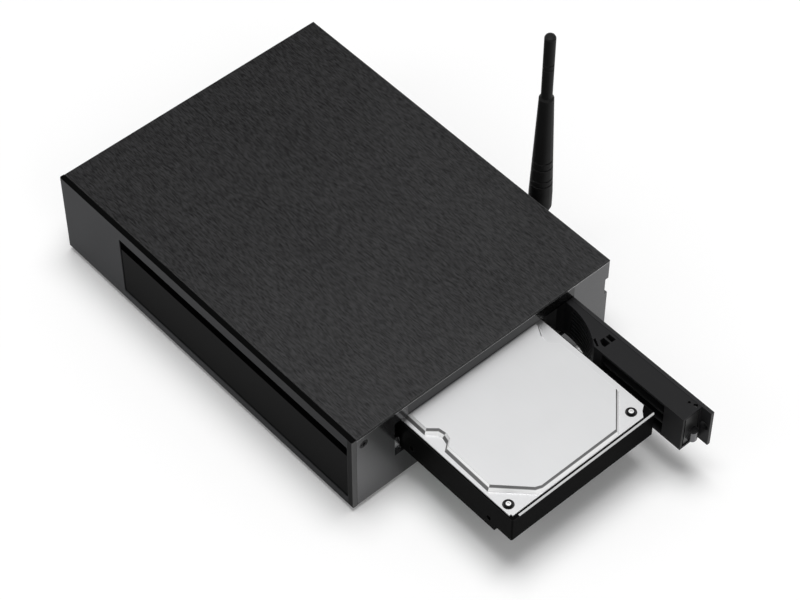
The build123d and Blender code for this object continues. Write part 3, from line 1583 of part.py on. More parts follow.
nodes = {
    "base_tray": base_tray(),
    "top_cover": top_cover(),
    "right_side_panel": right_side_panel(),
    "left_side_panel": left_side_panel(),
    "rear_panel": rear_panel(),
    "front_panel": front_panel(),
    "display_window": display_window(),
    "rubber_feet": rubber_feet(),
    "side_screws": side_screws(),
    "rear_screws": rear_screws(),
    "stud_nuts": stud_nuts(),
    "display_board": display_board(),
    "display_tube": display_tube(),
    "front_indicators": group([infrared_eye(), standby_lamp()]),
    "main_board": main_board(),
    "board_standoffs": board_standoffs(),
    "inner_screws": inner_screws(),
    "processor": processor(),
    "memory_chips": memory_chips(),
    "heat_sink": heat_sink(),
    "wifi_module": wifi_module(),
    "hdmi_sockets": video_sockets(),
    "usb_socket": usb_socket(),
    "ethernet_socket": ethernet_socket(),
    "audio_sockets": group([optical_socket(), audio_jack()]),
    "power_inlet": power_inlet(),
    "switch_housing": switch_housing(),
    "power_rocker": power_rocker(),
    "drive_cage": drive_cage(),
    "cage_spacers": cage_spacers(),
    "slide_runners": slide_runners(),
    "backplane": backplane(),
    "sata_socket": sata_socket(),
    "hinge_bracket": hinge_bracket(),
    "hinge_pin": hinge_pin(),
    "hinge_clip": hinge_clip(),
    "hinge_washers": hinge_washers(),
    "door_panel": door_panel(),
    "door_body": door_body(),
    "door_studs": door_studs(),
    "latch_frame": latch_frame(),
    "latch_bolt": latch_bolt(),
    "latch_spring": latch_spring(),
    "door_striker": door_striker(),
    "drive_base": drive_base(),
    "drive_cover": drive_cover(),
    "drive_cover_screws": drive_cover_screws(),
    "drive_platters": drive_platters(),
    "spindle_motor": spindle_motor(),
    "head_actuator": head_actuator(),
    "coil_magnets": coil_magnets(),
    "drive_board": drive_board(),
    "drive_connector": drive_connector(),
    "antenna_connector": antenna_connector(),
    "antenna_nut": antenna_nut(),
    "antenna_collar": antenna_collar(),
    "antenna_pin": antenna_pin(),
    "antenna_whip": antenna_whip(),
    "flat_cables": group([display_cable(), backplane_cable()]),
    "antenna_lead": antenna_lead(),
}

os.makedirs("parts", exist_ok=True)
for name, shape in nodes.items():
    export_step(shape, f"parts/{name}.step")
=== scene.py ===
import math

import bmesh
import bpy
from mathutils import Matrix, Vector


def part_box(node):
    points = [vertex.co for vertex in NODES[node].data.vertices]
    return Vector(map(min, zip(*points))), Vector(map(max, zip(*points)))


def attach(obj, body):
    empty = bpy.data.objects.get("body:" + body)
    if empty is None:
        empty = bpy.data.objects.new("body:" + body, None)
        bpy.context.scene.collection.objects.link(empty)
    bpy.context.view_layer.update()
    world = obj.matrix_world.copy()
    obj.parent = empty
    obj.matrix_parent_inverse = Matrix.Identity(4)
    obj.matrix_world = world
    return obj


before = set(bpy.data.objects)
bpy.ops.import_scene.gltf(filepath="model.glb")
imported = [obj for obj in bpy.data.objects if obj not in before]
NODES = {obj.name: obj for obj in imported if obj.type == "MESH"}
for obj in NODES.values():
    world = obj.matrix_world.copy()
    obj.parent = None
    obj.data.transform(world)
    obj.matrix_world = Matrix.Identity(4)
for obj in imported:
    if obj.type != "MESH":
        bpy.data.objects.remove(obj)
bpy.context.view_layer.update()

bl_info = {
    "name": "Media player with drive bay",
    "version": (1, 0, 0),
    "blender": (4, 5, 0),
    "location": "3D view > Sidebar > Player",
    "description": "Dresses a media player, its hard drive, bay door and antenna",
    "category": "Object",
}

# Metres in a millimetre
MM = 0.001

# The bay's opening in the right side panel, from the drive that passes through it, in metres
BAY_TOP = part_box("drive_cover")[1][2] + 0.0007
BAY_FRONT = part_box("drive_base")[0][1] - 0.0062
BAY_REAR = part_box("drive_base")[1][1] + 0.0207

# The photograph's view: the camera's place in metres, its direction and its roll in degrees
CAMERA_PLACE = (0.7157, -0.5917, 1.1050)
CAMERA_TOWARD = (-0.4754, 0.4265, -0.7695)
CAMERA_ROLL = -0.1
SENSOR_WIDTH = 36.0
VIEW_RANGE = 50.0

# Edges that turn by more degrees than these stay sharp, or get a small bevel
SHARP_ANGLE = 35.0
BEVEL_ANGLE = 30.0

# A colour Mix node's numbers for its two colours and its result
MIX_LOW, MIX_HIGH, MIX_RESULT = 6, 7, 2

# Short names for sockets whose own names are long
SOCKET_NAMES = {"specular": "Specular IOR Level"}


# ---- Shader maths ----
class Value:
    """A shader socket that takes part in arithmetic."""

    def __init__(self, finish, socket):
        self.finish = finish
        self.socket = socket

    def math(self, operation, *others, first=None):
        """A Math node on this value and the others; first goes before it."""
        inputs = [self, *others] if first is None else [first, self, *others]
        settings = {"operation": operation}
        return self.finish.node("ShaderNodeMath", settings, dict(enumerate(inputs)))

    def __add__(self, other):
        return self.math("ADD", other)

    def __radd__(self, other):
        return self.math("ADD", first=other)

    def __sub__(self, other):
        return self.math("SUBTRACT", other)

    def __rsub__(self, other):
        return self.math("SUBTRACT", first=other)

    def __mul__(self, other):
        return self.math("MULTIPLY", other)

    def __rmul__(self, other):
        return self.math("MULTIPLY", first=other)

    def __truediv__(self, other):
        return self.math("DIVIDE", other)

    def __rtruediv__(self, other):
        return self.math("DIVIDE", first=other)

    def __gt__(self, other):
        return self.math("GREATER_THAN", other)

    def __lt__(self, other):
        return self.math("LESS_THAN", other)

    def __abs__(self):
        return self.math("ABSOLUTE")

    def at_most(self, other):
        """The smaller of the two."""
        return self.math("MINIMUM", other)

    def at_least(self, other):
        """The larger of the two."""
        return self.math("MAXIMUM", other)

    def swing(self, rate):
        """A wave between 0 and 1, with its rate in radians for each unit of the value."""
        return (self * rate).math("SINE") * 0.5 + 0.5

    def fraction(self):
        """What stands after the point."""
        return self.math("FRACT")

    def held(self):
        """Held between 0 and 1."""
        return self.at_least(0.0).at_most(1.0)

    def ramp(self, low, high):
        """0 below low, 1 above high, straight between."""
        return ((self - low) / (high - low)).held()


class Finish:
    """One material's node tree."""

    def __init__(self, name):
        self.material = bpy.data.materials.new(name)
        self.material.use_nodes = True
        self.tree = self.material.node_tree
        self.tree.nodes.clear()

    @classmethod
    def of_tree(cls, tree):
        """A finish that works on a tree which is there already."""
        made = cls.__new__(cls)
        made.tree = tree
        return made

    def seen(self):
        """1 to the camera, in gloss and through glass, 0 for the light that falls on things."""
        path = self.node("ShaderNodeLightPath").socket.node
        names = ("Is Camera Ray", "Is Glossy Ray", "Is Transmission Ray")
        rays = [Value(self, path.outputs[name]) for name in names]
        return rays[0].at_least(rays[1]).at_least(rays[2])

    def node(self, kind, settings=None, inputs=None, output=0):
        """Adds a node: its settings first, then values or links for its sockets."""
        made = self.tree.nodes.new(kind)
        for key, value in (settings or {}).items():
            setattr(made, key, value)
        for key, value in (inputs or {}).items():
            if isinstance(value, Value):
                self.tree.links.new(value.socket, made.inputs[key])
            else:
                made.inputs[key].default_value = value
        return Value(self, made.outputs[output]) if made.outputs else None

    def place(self):
        """The point's place in its piece's own space, in metres."""
        return self.node("ShaderNodeTexCoord", output="Object")

    def axes(self):
        """The place's three numbers."""
        split = self.node("ShaderNodeSeparateXYZ", inputs={0: self.place()}).socket.node
        return [Value(self, split.outputs[axis]) for axis in range(3)]

    def facing(self, axis):
        """How far the surface faces along an axis of the scene."""
        normal = self.node("ShaderNodeNewGeometry", output="Normal")
        return self.node("ShaderNodeSeparateXYZ", inputs={0: normal}, output=axis)

    def noise(self, scale, stretch=(1, 1, 1), detail=2.0, roughness=0.5, turn=(0, 0, 0)):
        """Noise with a scale for each axis, per metre."""
        mapped = self.node(
            "ShaderNodeMapping", inputs={"Vector": self.place(), "Scale": stretch, "Rotation": turn}
        )
        values = {"Vector": mapped, "Scale": scale, "Detail": detail, "Roughness": roughness}
        return self.node("ShaderNodeTexNoise", inputs=values)

    def cells(self, scale, settings=None, output="Distance"):
        """Voronoi cells, per metre."""
        values = {"Vector": self.place(), "Scale": scale}
        return self.node("ShaderNodeTexVoronoi", settings, values, output)

    def blend(self, share, low, high):
        """A colour between two colours."""
        values = {0: share, MIX_LOW: tint(low), MIX_HIGH: tint(high)}
        return self.node("ShaderNodeMix", {"data_type": "RGBA"}, values, MIX_RESULT)

    def edges(self, width):
        """Bright at an edge, as wear and on the drive's cover also as a painted highlight: the bevelled
        normal against the true one.
        """
        gain = 6.0
        bevel = self.node("ShaderNodeBevel", {"samples": 4}, {"Radius": width})
        flat = self.node("ShaderNodeNewGeometry", output="Normal")
        product = {"operation": "DOT_PRODUCT"}
        agreement = self.node("ShaderNodeVectorMath", product, {0: bevel, 1: flat}, "Value")
        return ((1.0 - agreement) * gain).held()

    def bump(self, height, strength, distance):
        """A normal from a height."""
        values = {"Height": height, "Strength": strength, "Distance": distance}
        return self.node("ShaderNodeBump", inputs=values)

    def surface(self, **sockets):
        """The closing shader. Names are the shader's own, with _ for a space."""
        inputs = {}
        for key, value in sockets.items():
            inputs[SOCKET_NAMES.get(key, key.replace("_", " ").title())] = value
        shader = self.node("ShaderNodeBsdfPrincipled", inputs=inputs)
        self.node("ShaderNodeOutputMaterial", inputs={"Surface": shader})
        return self.material


def distance(across, along):
    """The length of the slope over two sides at a right angle."""
    return (across * across + along * along).math("SQRT")


def tint(value):
    """A grey number or three numbers as a colour; a link stays a link."""
    if isinstance(value, Value):
        return value
    if isinstance(value, (int, float)):
        return (value, value, value, 1.0)
    return (*value[:3], 1.0)


def scaled(colour, share, plus=0.0):
    """A grey or colour made lighter or darker."""
    return [min(1.0, value * share + plus) for value in tint(colour)[:3]]


# ---- Finishes ----
def brushed_aluminium(props):
    """Black anodised aluminium, lighter to the right by painted light, with short brush strokes along X.
    """
    f = Finish("brushed_black")
    painted_light_rightward = 1.2
    fine = f.noise(100.0, (3.2, 26.0, 1.0), detail=3.0, roughness=0.65)
    strokes = f.noise(100.0, (2.6, 15.0, 1.0), turn=(0, 0, 0.05))
    cloud = f.noise(14.0, (1.0, 1.6, 1.0))
    streak = (fine * 0.5 + strokes * 0.5).ramp(0.36, 0.64)
    # Painted light: the cover gets lighter towards the right.
    tone = (streak * 0.75 + cloud * 0.2 + f.axes()[0] * painted_light_rightward).held()
    worn = f.edges(0.0004)
    dark, light = props.brushed_dark, props.brushed_light
    return f.surface(
        base_color=f.blend(worn * 0.6, f.blend(tone, dark, light), 0.14),
        metallic=0.25,
        roughness=0.38 + streak * 0.14,
        specular=0.06,
        normal=f.bump(streak, strength=0.12, distance=0.0001),
    )


def satin_metal(name, dark, light, rough, specular=0.5):
    """Painted or blasted metal: fine grain, slow clouds, lighter worn edges."""
    f = Finish(name)
    grain = f.noise(9000.0)
    cloud = f.noise(22.0, detail=3.0)
    worn = f.edges(0.0004)
    base = f.blend((grain * 0.5 + cloud * 0.6 - 0.05).held(), dark, light)
    return f.surface(
        base_color=f.blend(worn * 0.35, base, scaled(light, 2.2, 0.03)),
        metallic=0.6,
        roughness=rough + grain * 0.1 + cloud * 0.05,
        specular=specular,
        normal=f.bump(grain, strength=0.08, distance=0.00008),
    )


def front_satin(props):
    """The front plate: a satin face with fine grain and a dull black edge of painted shade all along its
    top.

    The face is darker towards the right by painted shade and darkest in the strip right of the window,
    and the plate's return on the right is lighter.
    """
    f = Finish("front_satin")
    fade_inset, window_lap, return_depth, shade_edge_height = 0.02, 0.0008, 0.0003, 0.00035
    low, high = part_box("front_panel")
    window_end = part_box("display_window")[1][0]
    x, _, z = f.axes()
    grain = f.noise(9000.0)
    cloud = f.noise(22.0, detail=3.0)
    worn = f.edges(0.0003)
    # Painted shade: the face gets darker towards the right.
    painted_light_leftward = 1.0 - x.ramp(low[0] + fade_inset, high[0]) * 0.75
    tone = (grain * 0.5 + cloud * 0.6 - 0.05).held() * 0.4 + painted_light_leftward * 0.6
    face = f.blend(tone, props.front_dark, props.front_light)
    face = f.blend(x > window_end - window_lap, face, 0.008)
    face = f.blend(x > high[0] - return_depth, face, 0.11)
    # Painted shade: a dull black edge along the top of the plate.
    edge = z > high[2] - shade_edge_height
    return f.surface(
        base_color=f.blend(edge, f.blend(worn * 0.25, face, 0.12), 0.001),
        roughness=0.34 + grain * 0.1 + edge * 0.3,
        specular=0.02,
        normal=f.bump(grain, strength=0.08, distance=0.00008),
    )


def side_metal(props):
    """Dark polished side plates: fine lengthwise grain and a painted highlight line along the top edge.

    Above the bay's opening the right plate is painted darker as shade, with a painted black shadow line
    next to the opening.
    """
    f = Finish("dark_plate")
    highlight_height, shade_inset, shadow_line_height = 0.00025, 0.009, 0.0013
    grain = f.noise(100.0, (1.0, 1.2, 26.0), detail=3.0, roughness=0.6)
    cloud = f.noise(18.0)
    x, y, z = f.axes()
    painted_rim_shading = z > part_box("right_side_panel")[1][2] - highlight_height
    bay_shade_mask = (z > BAY_TOP) * (y > BAY_FRONT + shade_inset) * (y < BAY_REAR) * (x > 0.0)
    base = f.blend((grain * 0.5 + cloud * 0.4).held(), props.side_dark, props.side_light)
    # Painted shade: the plate is darker above the bay's opening.
    base = f.blend(bay_shade_mask * 0.65, base, 0.004)
    # Painted shadow: a black line along the opening's top edge.
    base = f.blend(bay_shade_mask * (z < BAY_TOP + shadow_line_height), base, 0.002)
    return f.surface(
        # Painted highlight: a bright line along the plate's top edge.
        base_color=f.blend(painted_rim_shading, base, 0.5),
        metallic=0.85,
        roughness=0.12 + grain * 0.06,
        normal=f.bump(grain, strength=0.05, distance=0.00008),
    )


def dark_glass(props):
    """Glossy window: nearly black, with a faint tint and dust."""
    f = Finish("window_black")
    dust = f.noise(2600.0, detail=4.0).ramp(0.66, 0.8)
    cloud = f.noise(9.0, detail=1.0)
    return f.surface(
        base_color=f.blend(cloud, props.window_colour, scaled(props.window_colour, 1.5)),
        roughness=0.05 + dust * 0.12 + cloud * 0.03,
        specular=0.009,
    )


def shadow_band_black():
    """Dull black of the painted shadow band along the window's top."""
    f = Finish("shadow_band_black")
    grain = f.noise(4000.0)
    return f.surface(
        base_color=f.blend(grain, 0.0005, 0.0015),
        roughness=0.6 + grain * 0.2,
        specular=0.0,
        normal=f.bump(grain, strength=0.1, distance=0.00005),
    )


def rolled_steel(name="sheet_steel", tone=0.5, rough=0.32):
    """Zinc coated sheet: spangle, rolling lines and lighter cut edges."""
    f = Finish(name)
    spangle = f.cells(130.0, output="Color")
    grey = f.node("ShaderNodeRGBToBW", inputs={0: spangle})
    lines = f.noise(100.0, (14.0, 0.7, 14.0), detail=3.0)
    worn = f.edges(0.0003)
    base = f.blend((grey * 0.5 + lines * 0.5).held(), tone * 0.82, tone * 1.18)
    return f.surface(
        base_color=f.blend(worn * 0.4, base, 0.8),
        metallic=0.9,
        roughness=rough + grey * 0.1 + lines * 0.06,
        normal=f.bump(lines, strength=0.06, distance=0.00008),
    )


def bright_metal(name, colour, rough, turned=False):
    """Plated metal: turned rings or fine scratches."""
    f = Finish(name)
    scratch = f.noise(3200.0, (1, 1, 4) if turned else (1, 5, 1), detail=3.0)
    stain = f.noise(160.0)
    worn = f.edges(0.0002)
    base = f.blend(stain * 0.6, colour, scaled(colour, 0.72))
    return f.surface(
        base_color=f.blend(worn * 0.5, base, scaled(colour, 1.3, 0.1)),
        metallic=1.0,
        roughness=rough + scratch * 0.14,
        normal=f.bump(scratch, strength=0.08, distance=0.00005),
    )


def moulded_plastic(name, dark, light, rough, grain_size, strength, specular=0.42):
    """Moulded plastic with an eroded grain and faintly polished edges."""
    f = Finish(name)
    grain = f.cells(grain_size, {"feature": "SMOOTH_F1"})
    fine = f.noise(grain_size * 1.7)
    flow = f.noise(30.0, (1.0, 2.5, 1.0))
    worn = f.edges(0.0003)
    base = f.blend((fine * 0.5 + flow * 0.5).held(), dark, light)
    return f.surface(
        base_color=f.blend(worn * 0.45, base, scaled(light, 1.8, 0.015)),
        roughness=rough + fine * 0.12 - worn * 0.12,
        specular=specular,
        normal=f.bump(grain * 0.7 + fine * 0.3, strength, 0.00006),
    )


def rubber():
    """Matte foot rubber: fine grain with lighter scuffs."""
    f = Finish("foot_rubber")
    grain = f.noise(5200.0, detail=3.0)
    scuff = f.noise(240.0, detail=3.0).ramp(0.5, 0.75)
    return f.surface(
        base_color=f.blend(scuff * 0.5, 0.018, 0.05),
        roughness=0.78 + grain * 0.15,
        specular=0.3,
        normal=f.bump(grain, strength=0.35, distance=0.0001),
    )


def solder_mask(props):
    """Green board: copper tracks under the mask and tinned dots."""
    f = Finish("board_green")
    tracks_per_metre = 420.0
    x, y, _ = f.axes()
    bend = f.noise(60.0, detail=0.0)
    tracks_x = ((x + bend * 0.012) * tracks_per_metre).fraction() - 0.5
    tracks_y = ((y + bend * 0.014) * tracks_per_metre).fraction() - 0.5
    side = f.noise(28.0, detail=0.0) > 0.5
    lines = abs(tracks_x) * side + abs(tracks_y) * (1.0 - side)
    track = 1.0 - lines.ramp(0.2, 0.26)
    dots = 1.0 - f.cells(260.0).ramp(0.1, 0.13)
    masked = f.blend(track, props.board_colour, scaled(props.board_colour, 1.9))
    return f.surface(
        base_color=f.blend(dots, masked, 0.5),
        metallic=dots * 0.9,
        roughness=0.34 - track * 0.08,
        normal=f.bump(track + dots, strength=0.3, distance=0.00008),
    )


def chip_package():
    """Moulded package: matte epoxy with fine filler."""
    f = Finish("chip_black")
    grain = f.noise(7000.0)
    smear = f.noise(300.0, (1, 4, 1))
    return f.surface(
        base_color=f.blend(grain, 0.018, 0.04),
        roughness=0.55 + smear * 0.14,
        normal=f.bump(grain, strength=0.2, distance=0.00005),
    )


def tube_glass():
    """Smoked display glass with its grid of segments behind."""
    f = Finish("tube_glass")
    cells_per_metre, lines_per_metre = 160.0, 420.0
    x, _, z = f.axes()
    cell = abs((x * cells_per_metre).fraction() - 0.5).ramp(0.3, 0.34)
    line = abs((z * lines_per_metre).fraction() - 0.5).ramp(0.28, 0.34)
    grid = (1.0 - cell) * (1.0 - line)
    return f.surface(
        base_color=f.blend(grid * 0.6, (0.012, 0.02, 0.02), (0.09, 0.12, 0.11)),
        roughness=0.08 + grid * 0.05,
        coat_weight=0.6,
    )


def tinted_lens():
    """Infrared lens: deep red, a little cloudy."""
    f = Finish("lamp_clear")
    cloud = f.noise(700.0)
    return f.surface(
        base_color=f.blend(cloud, (0.1, 0.008, 0.012), (0.2, 0.02, 0.03)),
        roughness=0.1 + cloud * 0.08,
        coat_weight=0.5,
    )


def nylon():
    """Natural low friction plastic: cream, faintly mottled, slide marks along X."""
    f = Finish("runner_white")
    cloud = f.noise(90.0, detail=3.0)
    rubbed = f.noise(100.0, (0.8, 22.0, 22.0)).ramp(0.5, 0.72)
    base = f.blend(cloud, (0.58, 0.56, 0.5), (0.74, 0.73, 0.67))
    return f.surface(
        base_color=f.blend(rubbed * 0.3, base, (0.42, 0.41, 0.38)),
        roughness=0.36 + rubbed * 0.14,
        subsurface_weight=0.05,
        normal=f.bump(rubbed, strength=0.1, distance=0.0001),
    )


def cast_black():
    """Coated casting: orange peel paint, small pores, thinner paint at the edges.

    The rim's edge at the outer end is bare metal.
    """
    f = Finish("drive_black")
    bare_depth, bare_height, bare_inset = 0.0012, 0.0003, 0.005
    peel = f.noise(1500.0, detail=3.0)
    pores = 1.0 - f.cells(700.0).ramp(0.06, 0.14)
    worn = f.edges(0.0003)
    base = f.blend(peel, 0.001, 0.004)
    low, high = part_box("drive_base")
    x, y, z = f.axes()
    bare = (x > high[0] - bare_depth) * (z > high[2] - bare_height) * (y > low[1] + bare_inset)
    painted = f.blend(worn * 0.25, base, 0.1)
    return f.surface(
        base_color=f.blend(bare, painted, 0.4),
        metallic=bare * 0.5,
        roughness=0.34 + peel * 0.14,
        specular=0.008,
        normal=f.bump(peel - pores * 0.8, strength=0.28, distance=0.0001),
    )


def pressed_aluminium(props):
    """The drive's cover: bright satin sheet, faint rolling grain, soft handling marks.

    Its slopes carry a painted reflection, light or dark by height and side, and the screws' recesses are
    painted black as shade.
    """
    f = Finish("drive_silver")
    cover_rise, shaded_recess_radius, outward_tilt = 0.004, 0.0032, 0.06
    # Shares of the rise between which the slope lies, and between which its painted reflection changes
    # over
    slope_start, slope_end, change_start, change_end = 0.03, 0.96, 0.5, 0.62
    grain = f.noise(100.0, (1.0, 21.0, 1.0), detail=3.0, roughness=0.55)
    fine = f.noise(6500.0)
    marks = f.noise(45.0, detail=3.0)
    worn = f.edges(0.0005)
    tone = (grain * 0.35 + fine * 0.3 + marks * 0.35).held()
    base = f.blend(tone, props.drive_dark, props.drive_light)
    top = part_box("drive_cover")[1][2]
    rise = f.axes()[2].ramp(top - cover_rise, top)
    slope = (rise > slope_start) * (rise < slope_end)
    upper = rise.ramp(change_start, change_end)
    outward = f.facing(0) > outward_tilt
    # Painted reflection on the slopes: outward slopes dark above the change, the others dark below it.
    dark = upper * outward + (1.0 - upper) * (1.0 - outward)
    base = f.blend(slope * 0.9, base, f.blend(dark, 0.95, 0.1))
    # Partly wear, partly painted highlight: the cover is lighter at its edges.
    base = f.blend(worn * 0.3, base, 0.9)
    return f.surface(
        # Painted shade: the screws' recesses are black.
        base_color=f.blend(from_cover_screws(f) < shaded_recess_radius, base, 0.004),
        metallic=0.45,
        roughness=0.36 + grain * 0.08 + marks * 0.05,
        normal=f.bump(grain * 0.5 + fine * 0.5, strength=0.05, distance=0.00006),
    )


def from_cover_screws(f):
    """How far a point stands from the axis of the nearest screw of the drive's cover."""
    low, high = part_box("drive_cover_screws")
    head_radius, outer_rear_step = 0.0022, 0.0038
    x, y, _ = f.axes()
    front, rear = low[1] + head_radius, high[1] - head_radius
    inner, outer = low[0] + head_radius, high[0] - head_radius
    screws = ((outer, front), (outer, rear - outer_rear_step), (inner, front), (inner, rear))
    nearest = None
    for place_x, place_y in screws:
        reach = distance(x - place_x, y - place_y)
        nearest = reach if nearest is None else nearest.at_most(reach)
    return nearest


def cover_screw_metal():
    """Screw heads of the drive's cover: bright round the socket, darkened to black towards the rim by
    painted shade.
    """
    f = Finish("drive_screw")
    bright_radius, shade_radius = 0.0012, 0.0015
    scratch = f.noise(3200.0, (1, 1, 4), detail=3.0)
    # Painted shade: the heads darken to black towards the rim.
    painted_rim_shading = from_cover_screws(f).ramp(bright_radius, shade_radius)
    bright = f.blend(scratch, 0.55, 0.75)
    return f.surface(
        base_color=f.blend(painted_rim_shading, bright, 0.006),
        metallic=0.8 - painted_rim_shading * 0.8,
        roughness=0.3 + scratch * 0.14,
        specular=0.1,
    )


def disk_mirror():
    """Polished disk with its faint track rings."""
    f = Finish("disk_mirror")
    low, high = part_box("drive_platters")
    x, y, _ = f.axes()
    radius = distance(x - (low[0] + high[0]) / 2, y - (low[1] + high[1]) / 2)
    rings = radius.swing(9000.0)
    return f.surface(
        base_color=f.blend(rings, 0.52, 0.6),
        metallic=1.0,
        roughness=0.04 + rings * 0.03,
    )


def wire_jacket(name, colour):
    """Cable jacket with faint ribs, one after another along X."""
    f = Finish(name)
    ribs = f.axes()[0].swing(5200.0)
    grain = f.noise(2400.0)
    return f.surface(
        base_color=f.blend((ribs * 0.5 + grain * 0.5).held(), scaled(colour, 0.75), colour),
        roughness=0.5 + grain * 0.12,
        normal=f.bump(ribs, strength=0.25, distance=0.0001),
    )


# ---- Meshes ----
def placed(name, data):
    """A new object in the scene."""
    made = bpy.data.objects.new(name, data)
    bpy.context.scene.collection.objects.link(made)
    return made


def new_piece(name, mesh, body, material):
    """Adds a mesh as a piece that rides on a body, with smooth faces and its finish."""
    piece = placed(name, mesh)
    mesh.materials.append(material)
    mesh.shade_smooth()
    mesh.set_sharp_from_angle(angle=math.radians(SHARP_ANGLE))
    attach(piece, body)


def soften(name, width, segments):
    """Breaks a node's edges by a small bevel in millimetres, so that they catch the light."""
    bevel = NODES[name].modifiers.new("edge break", "BEVEL")
    bevel.width = width * MM
    bevel.segments = segments
    bevel.limit_method = "ANGLE"
    bevel.angle_limit = math.radians(BEVEL_ANGLE)
    bevel.harden_normals = False
    bevel.use_clamp_overlap = True


def dress(names, material, edge=0.0, segments=2):
    """Gives nodes a finish, and breaks their edges where edge is more than 0."""
    for name in names:
        mesh = NODES[name].data
        mesh.materials.clear()
        mesh.materials.append(material)
        if edge:
            soften(name, edge, segments)


class Builder:
    """Collects shapes in millimetres into one mesh."""

    def __init__(self):
        self.bm = bmesh.new()

    def block(self, low, high, bevel=0.0, turn=None):
        """A box between two corners with rounded edges, turned by a matrix about its middle."""
        centre = [(a + b) / 2 for a, b in zip(low, high)]
        size = [b - a for a, b in zip(low, high)]
        made = bmesh.ops.create_cube(self.bm, size=1.0)["verts"]
        bmesh.ops.scale(self.bm, vec=size, verts=made)
        if bevel:
            edges = list(dict.fromkeys(edge for vert in made for edge in vert.link_edges))
            rounded = bmesh.ops.bevel(
                self.bm, geom=edges, offset=bevel, segments=2, profile=0.6, affect="EDGES"
            )
            left = [vert for vert in made if vert.is_valid]
            made = list(dict.fromkeys([*rounded["verts"], *left]))
        if turn is not None:
            bmesh.ops.transform(self.bm, matrix=turn, verts=made)
        bmesh.ops.translate(self.bm, vec=centre, verts=made)

    def pins(self, middle, depths, heights, count, pitch, half_width, turn=None):
        """A row of flat contacts about a middle along X, between two depths along Y and two heights."""
        for pin in range(count):
            x = middle + (pin - (count - 1) / 2) * pitch
            low = (x - half_width, depths[0], heights[0])
            self.block(low, (x + half_width, depths[1], heights[1]), turn=turn)

    def lathe(self, profile, origin, steps=32):
        """Turns (radius, height) points about the upright axis through the origin."""
        x, y, z = origin
        turns = [step * math.tau / steps for step in range(steps)]
        rings = []
        for radius, height in profile:
            ring = [(x, y, z + height)]
            if radius:
                ring = [(x + radius * math.cos(a), y + radius * math.sin(a), z + height) for a in turns]
            rings.append([self.bm.verts.new(point) for point in ring])
        for low, high in zip(rings, rings[1:]):
            for step in range(steps):
                after = (step + 1) % steps
                corners = [low[step % len(low)], low[after % len(low)]]
                corners += [high[after % len(high)], high[step % len(high)]]
                unique = list(dict.fromkeys(corners))
                if len(unique) > 2:
                    self.bm.faces.new(unique)

    def mesh(self, name):
        """The finished mesh, in metres, its faces turned outwards."""
        bmesh.ops.recalc_face_normals(self.bm, faces=self.bm.faces)
        bmesh.ops.scale(self.bm, vec=(MM, MM, MM), verts=self.bm.verts)
        mesh = bpy.data.meshes.new(name)
        self.bm.to_mesh(mesh)
        self.bm.free()
        return mesh


def box_mm(node):
    """A node's corners in millimetres."""
    low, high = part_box(node)
    return [value / MM for value in low], [value / MM for value in high]


def middle_mm(node):
    """The middle of a node's box in millimetres."""
    low, high = box_mm(node)
    return [(a + b) / 2 for a, b in zip(low, high)]


# ---- Settings a user would change ----
def colour_prop(name, description, default):
    """A colour setting."""
    return bpy.props.FloatVectorProperty(
        name=name, description=description, default=default, size=3, min=0.0, max=1.0, subtype="COLOR"
    )


def size_prop(name, description, default):
    """A length setting in metres."""
    return bpy.props.FloatProperty(
        name=name, description=description, default=default, min=0.0, unit="LENGTH", subtype="DISTANCE"
    )


class PlayerSettings(bpy.types.PropertyGroup):
    """Colours and small sizes of the player's finishes."""

    brushed_dark: colour_prop("Brush dark", "Darkest brush strokes of the cover", (0.003, 0.003, 0.0032))
    brushed_light: colour_prop("Brush light", "Lightest brush strokes of the cover", (0.043, 0.043, 0.044))
    side_dark: colour_prop("Side dark", "Dark tone of the side plates", (0.06, 0.06, 0.062))
    side_light: colour_prop("Side light", "Light tone of the side plates", (0.122, 0.122, 0.125))
    front_dark: colour_prop("Front dark", "Dark tone of the front plate", (0.004, 0.004, 0.0045))
    front_light: colour_prop("Front light", "Light tone of the front plate", (0.066, 0.067, 0.07))
    window_colour: colour_prop("Window", "Colour of the display window", (0.0008, 0.0008, 0.0009))
    board_colour: colour_prop("Board", "Solder mask of the boards", (0.012, 0.085, 0.04))
    drive_dark: colour_prop("Drive cover dark", "Dark tone of the drive's cover", (0.462, 0.464, 0.469))
    drive_light: colour_prop("Drive cover light", "Light tone of the drive's cover", (0.52, 0.522, 0.527))
    edge_break: size_prop("Edge break", "Width of the small bevels on the sheet metal", 0.00018)


class StageSettings(bpy.types.PropertyGroup):
    """Floor, lamps and camera."""

    floor_reach: size_prop("Floor reach", "Half the side of the floor", 6.0)
    lens: bpy.props.FloatProperty(
        name="Lens", description="Focal length of the camera in millimetres", default=115.85, min=1.0
    )
    key_power: bpy.props.FloatProperty(
        name="Key power", description="Power of the large lamp", default=63.0, min=0.0, unit="POWER"
    )
    world_strength: bpy.props.FloatProperty(
        name="World strength", description="Strength of the even light all round", default=0.26, min=0.0
    )


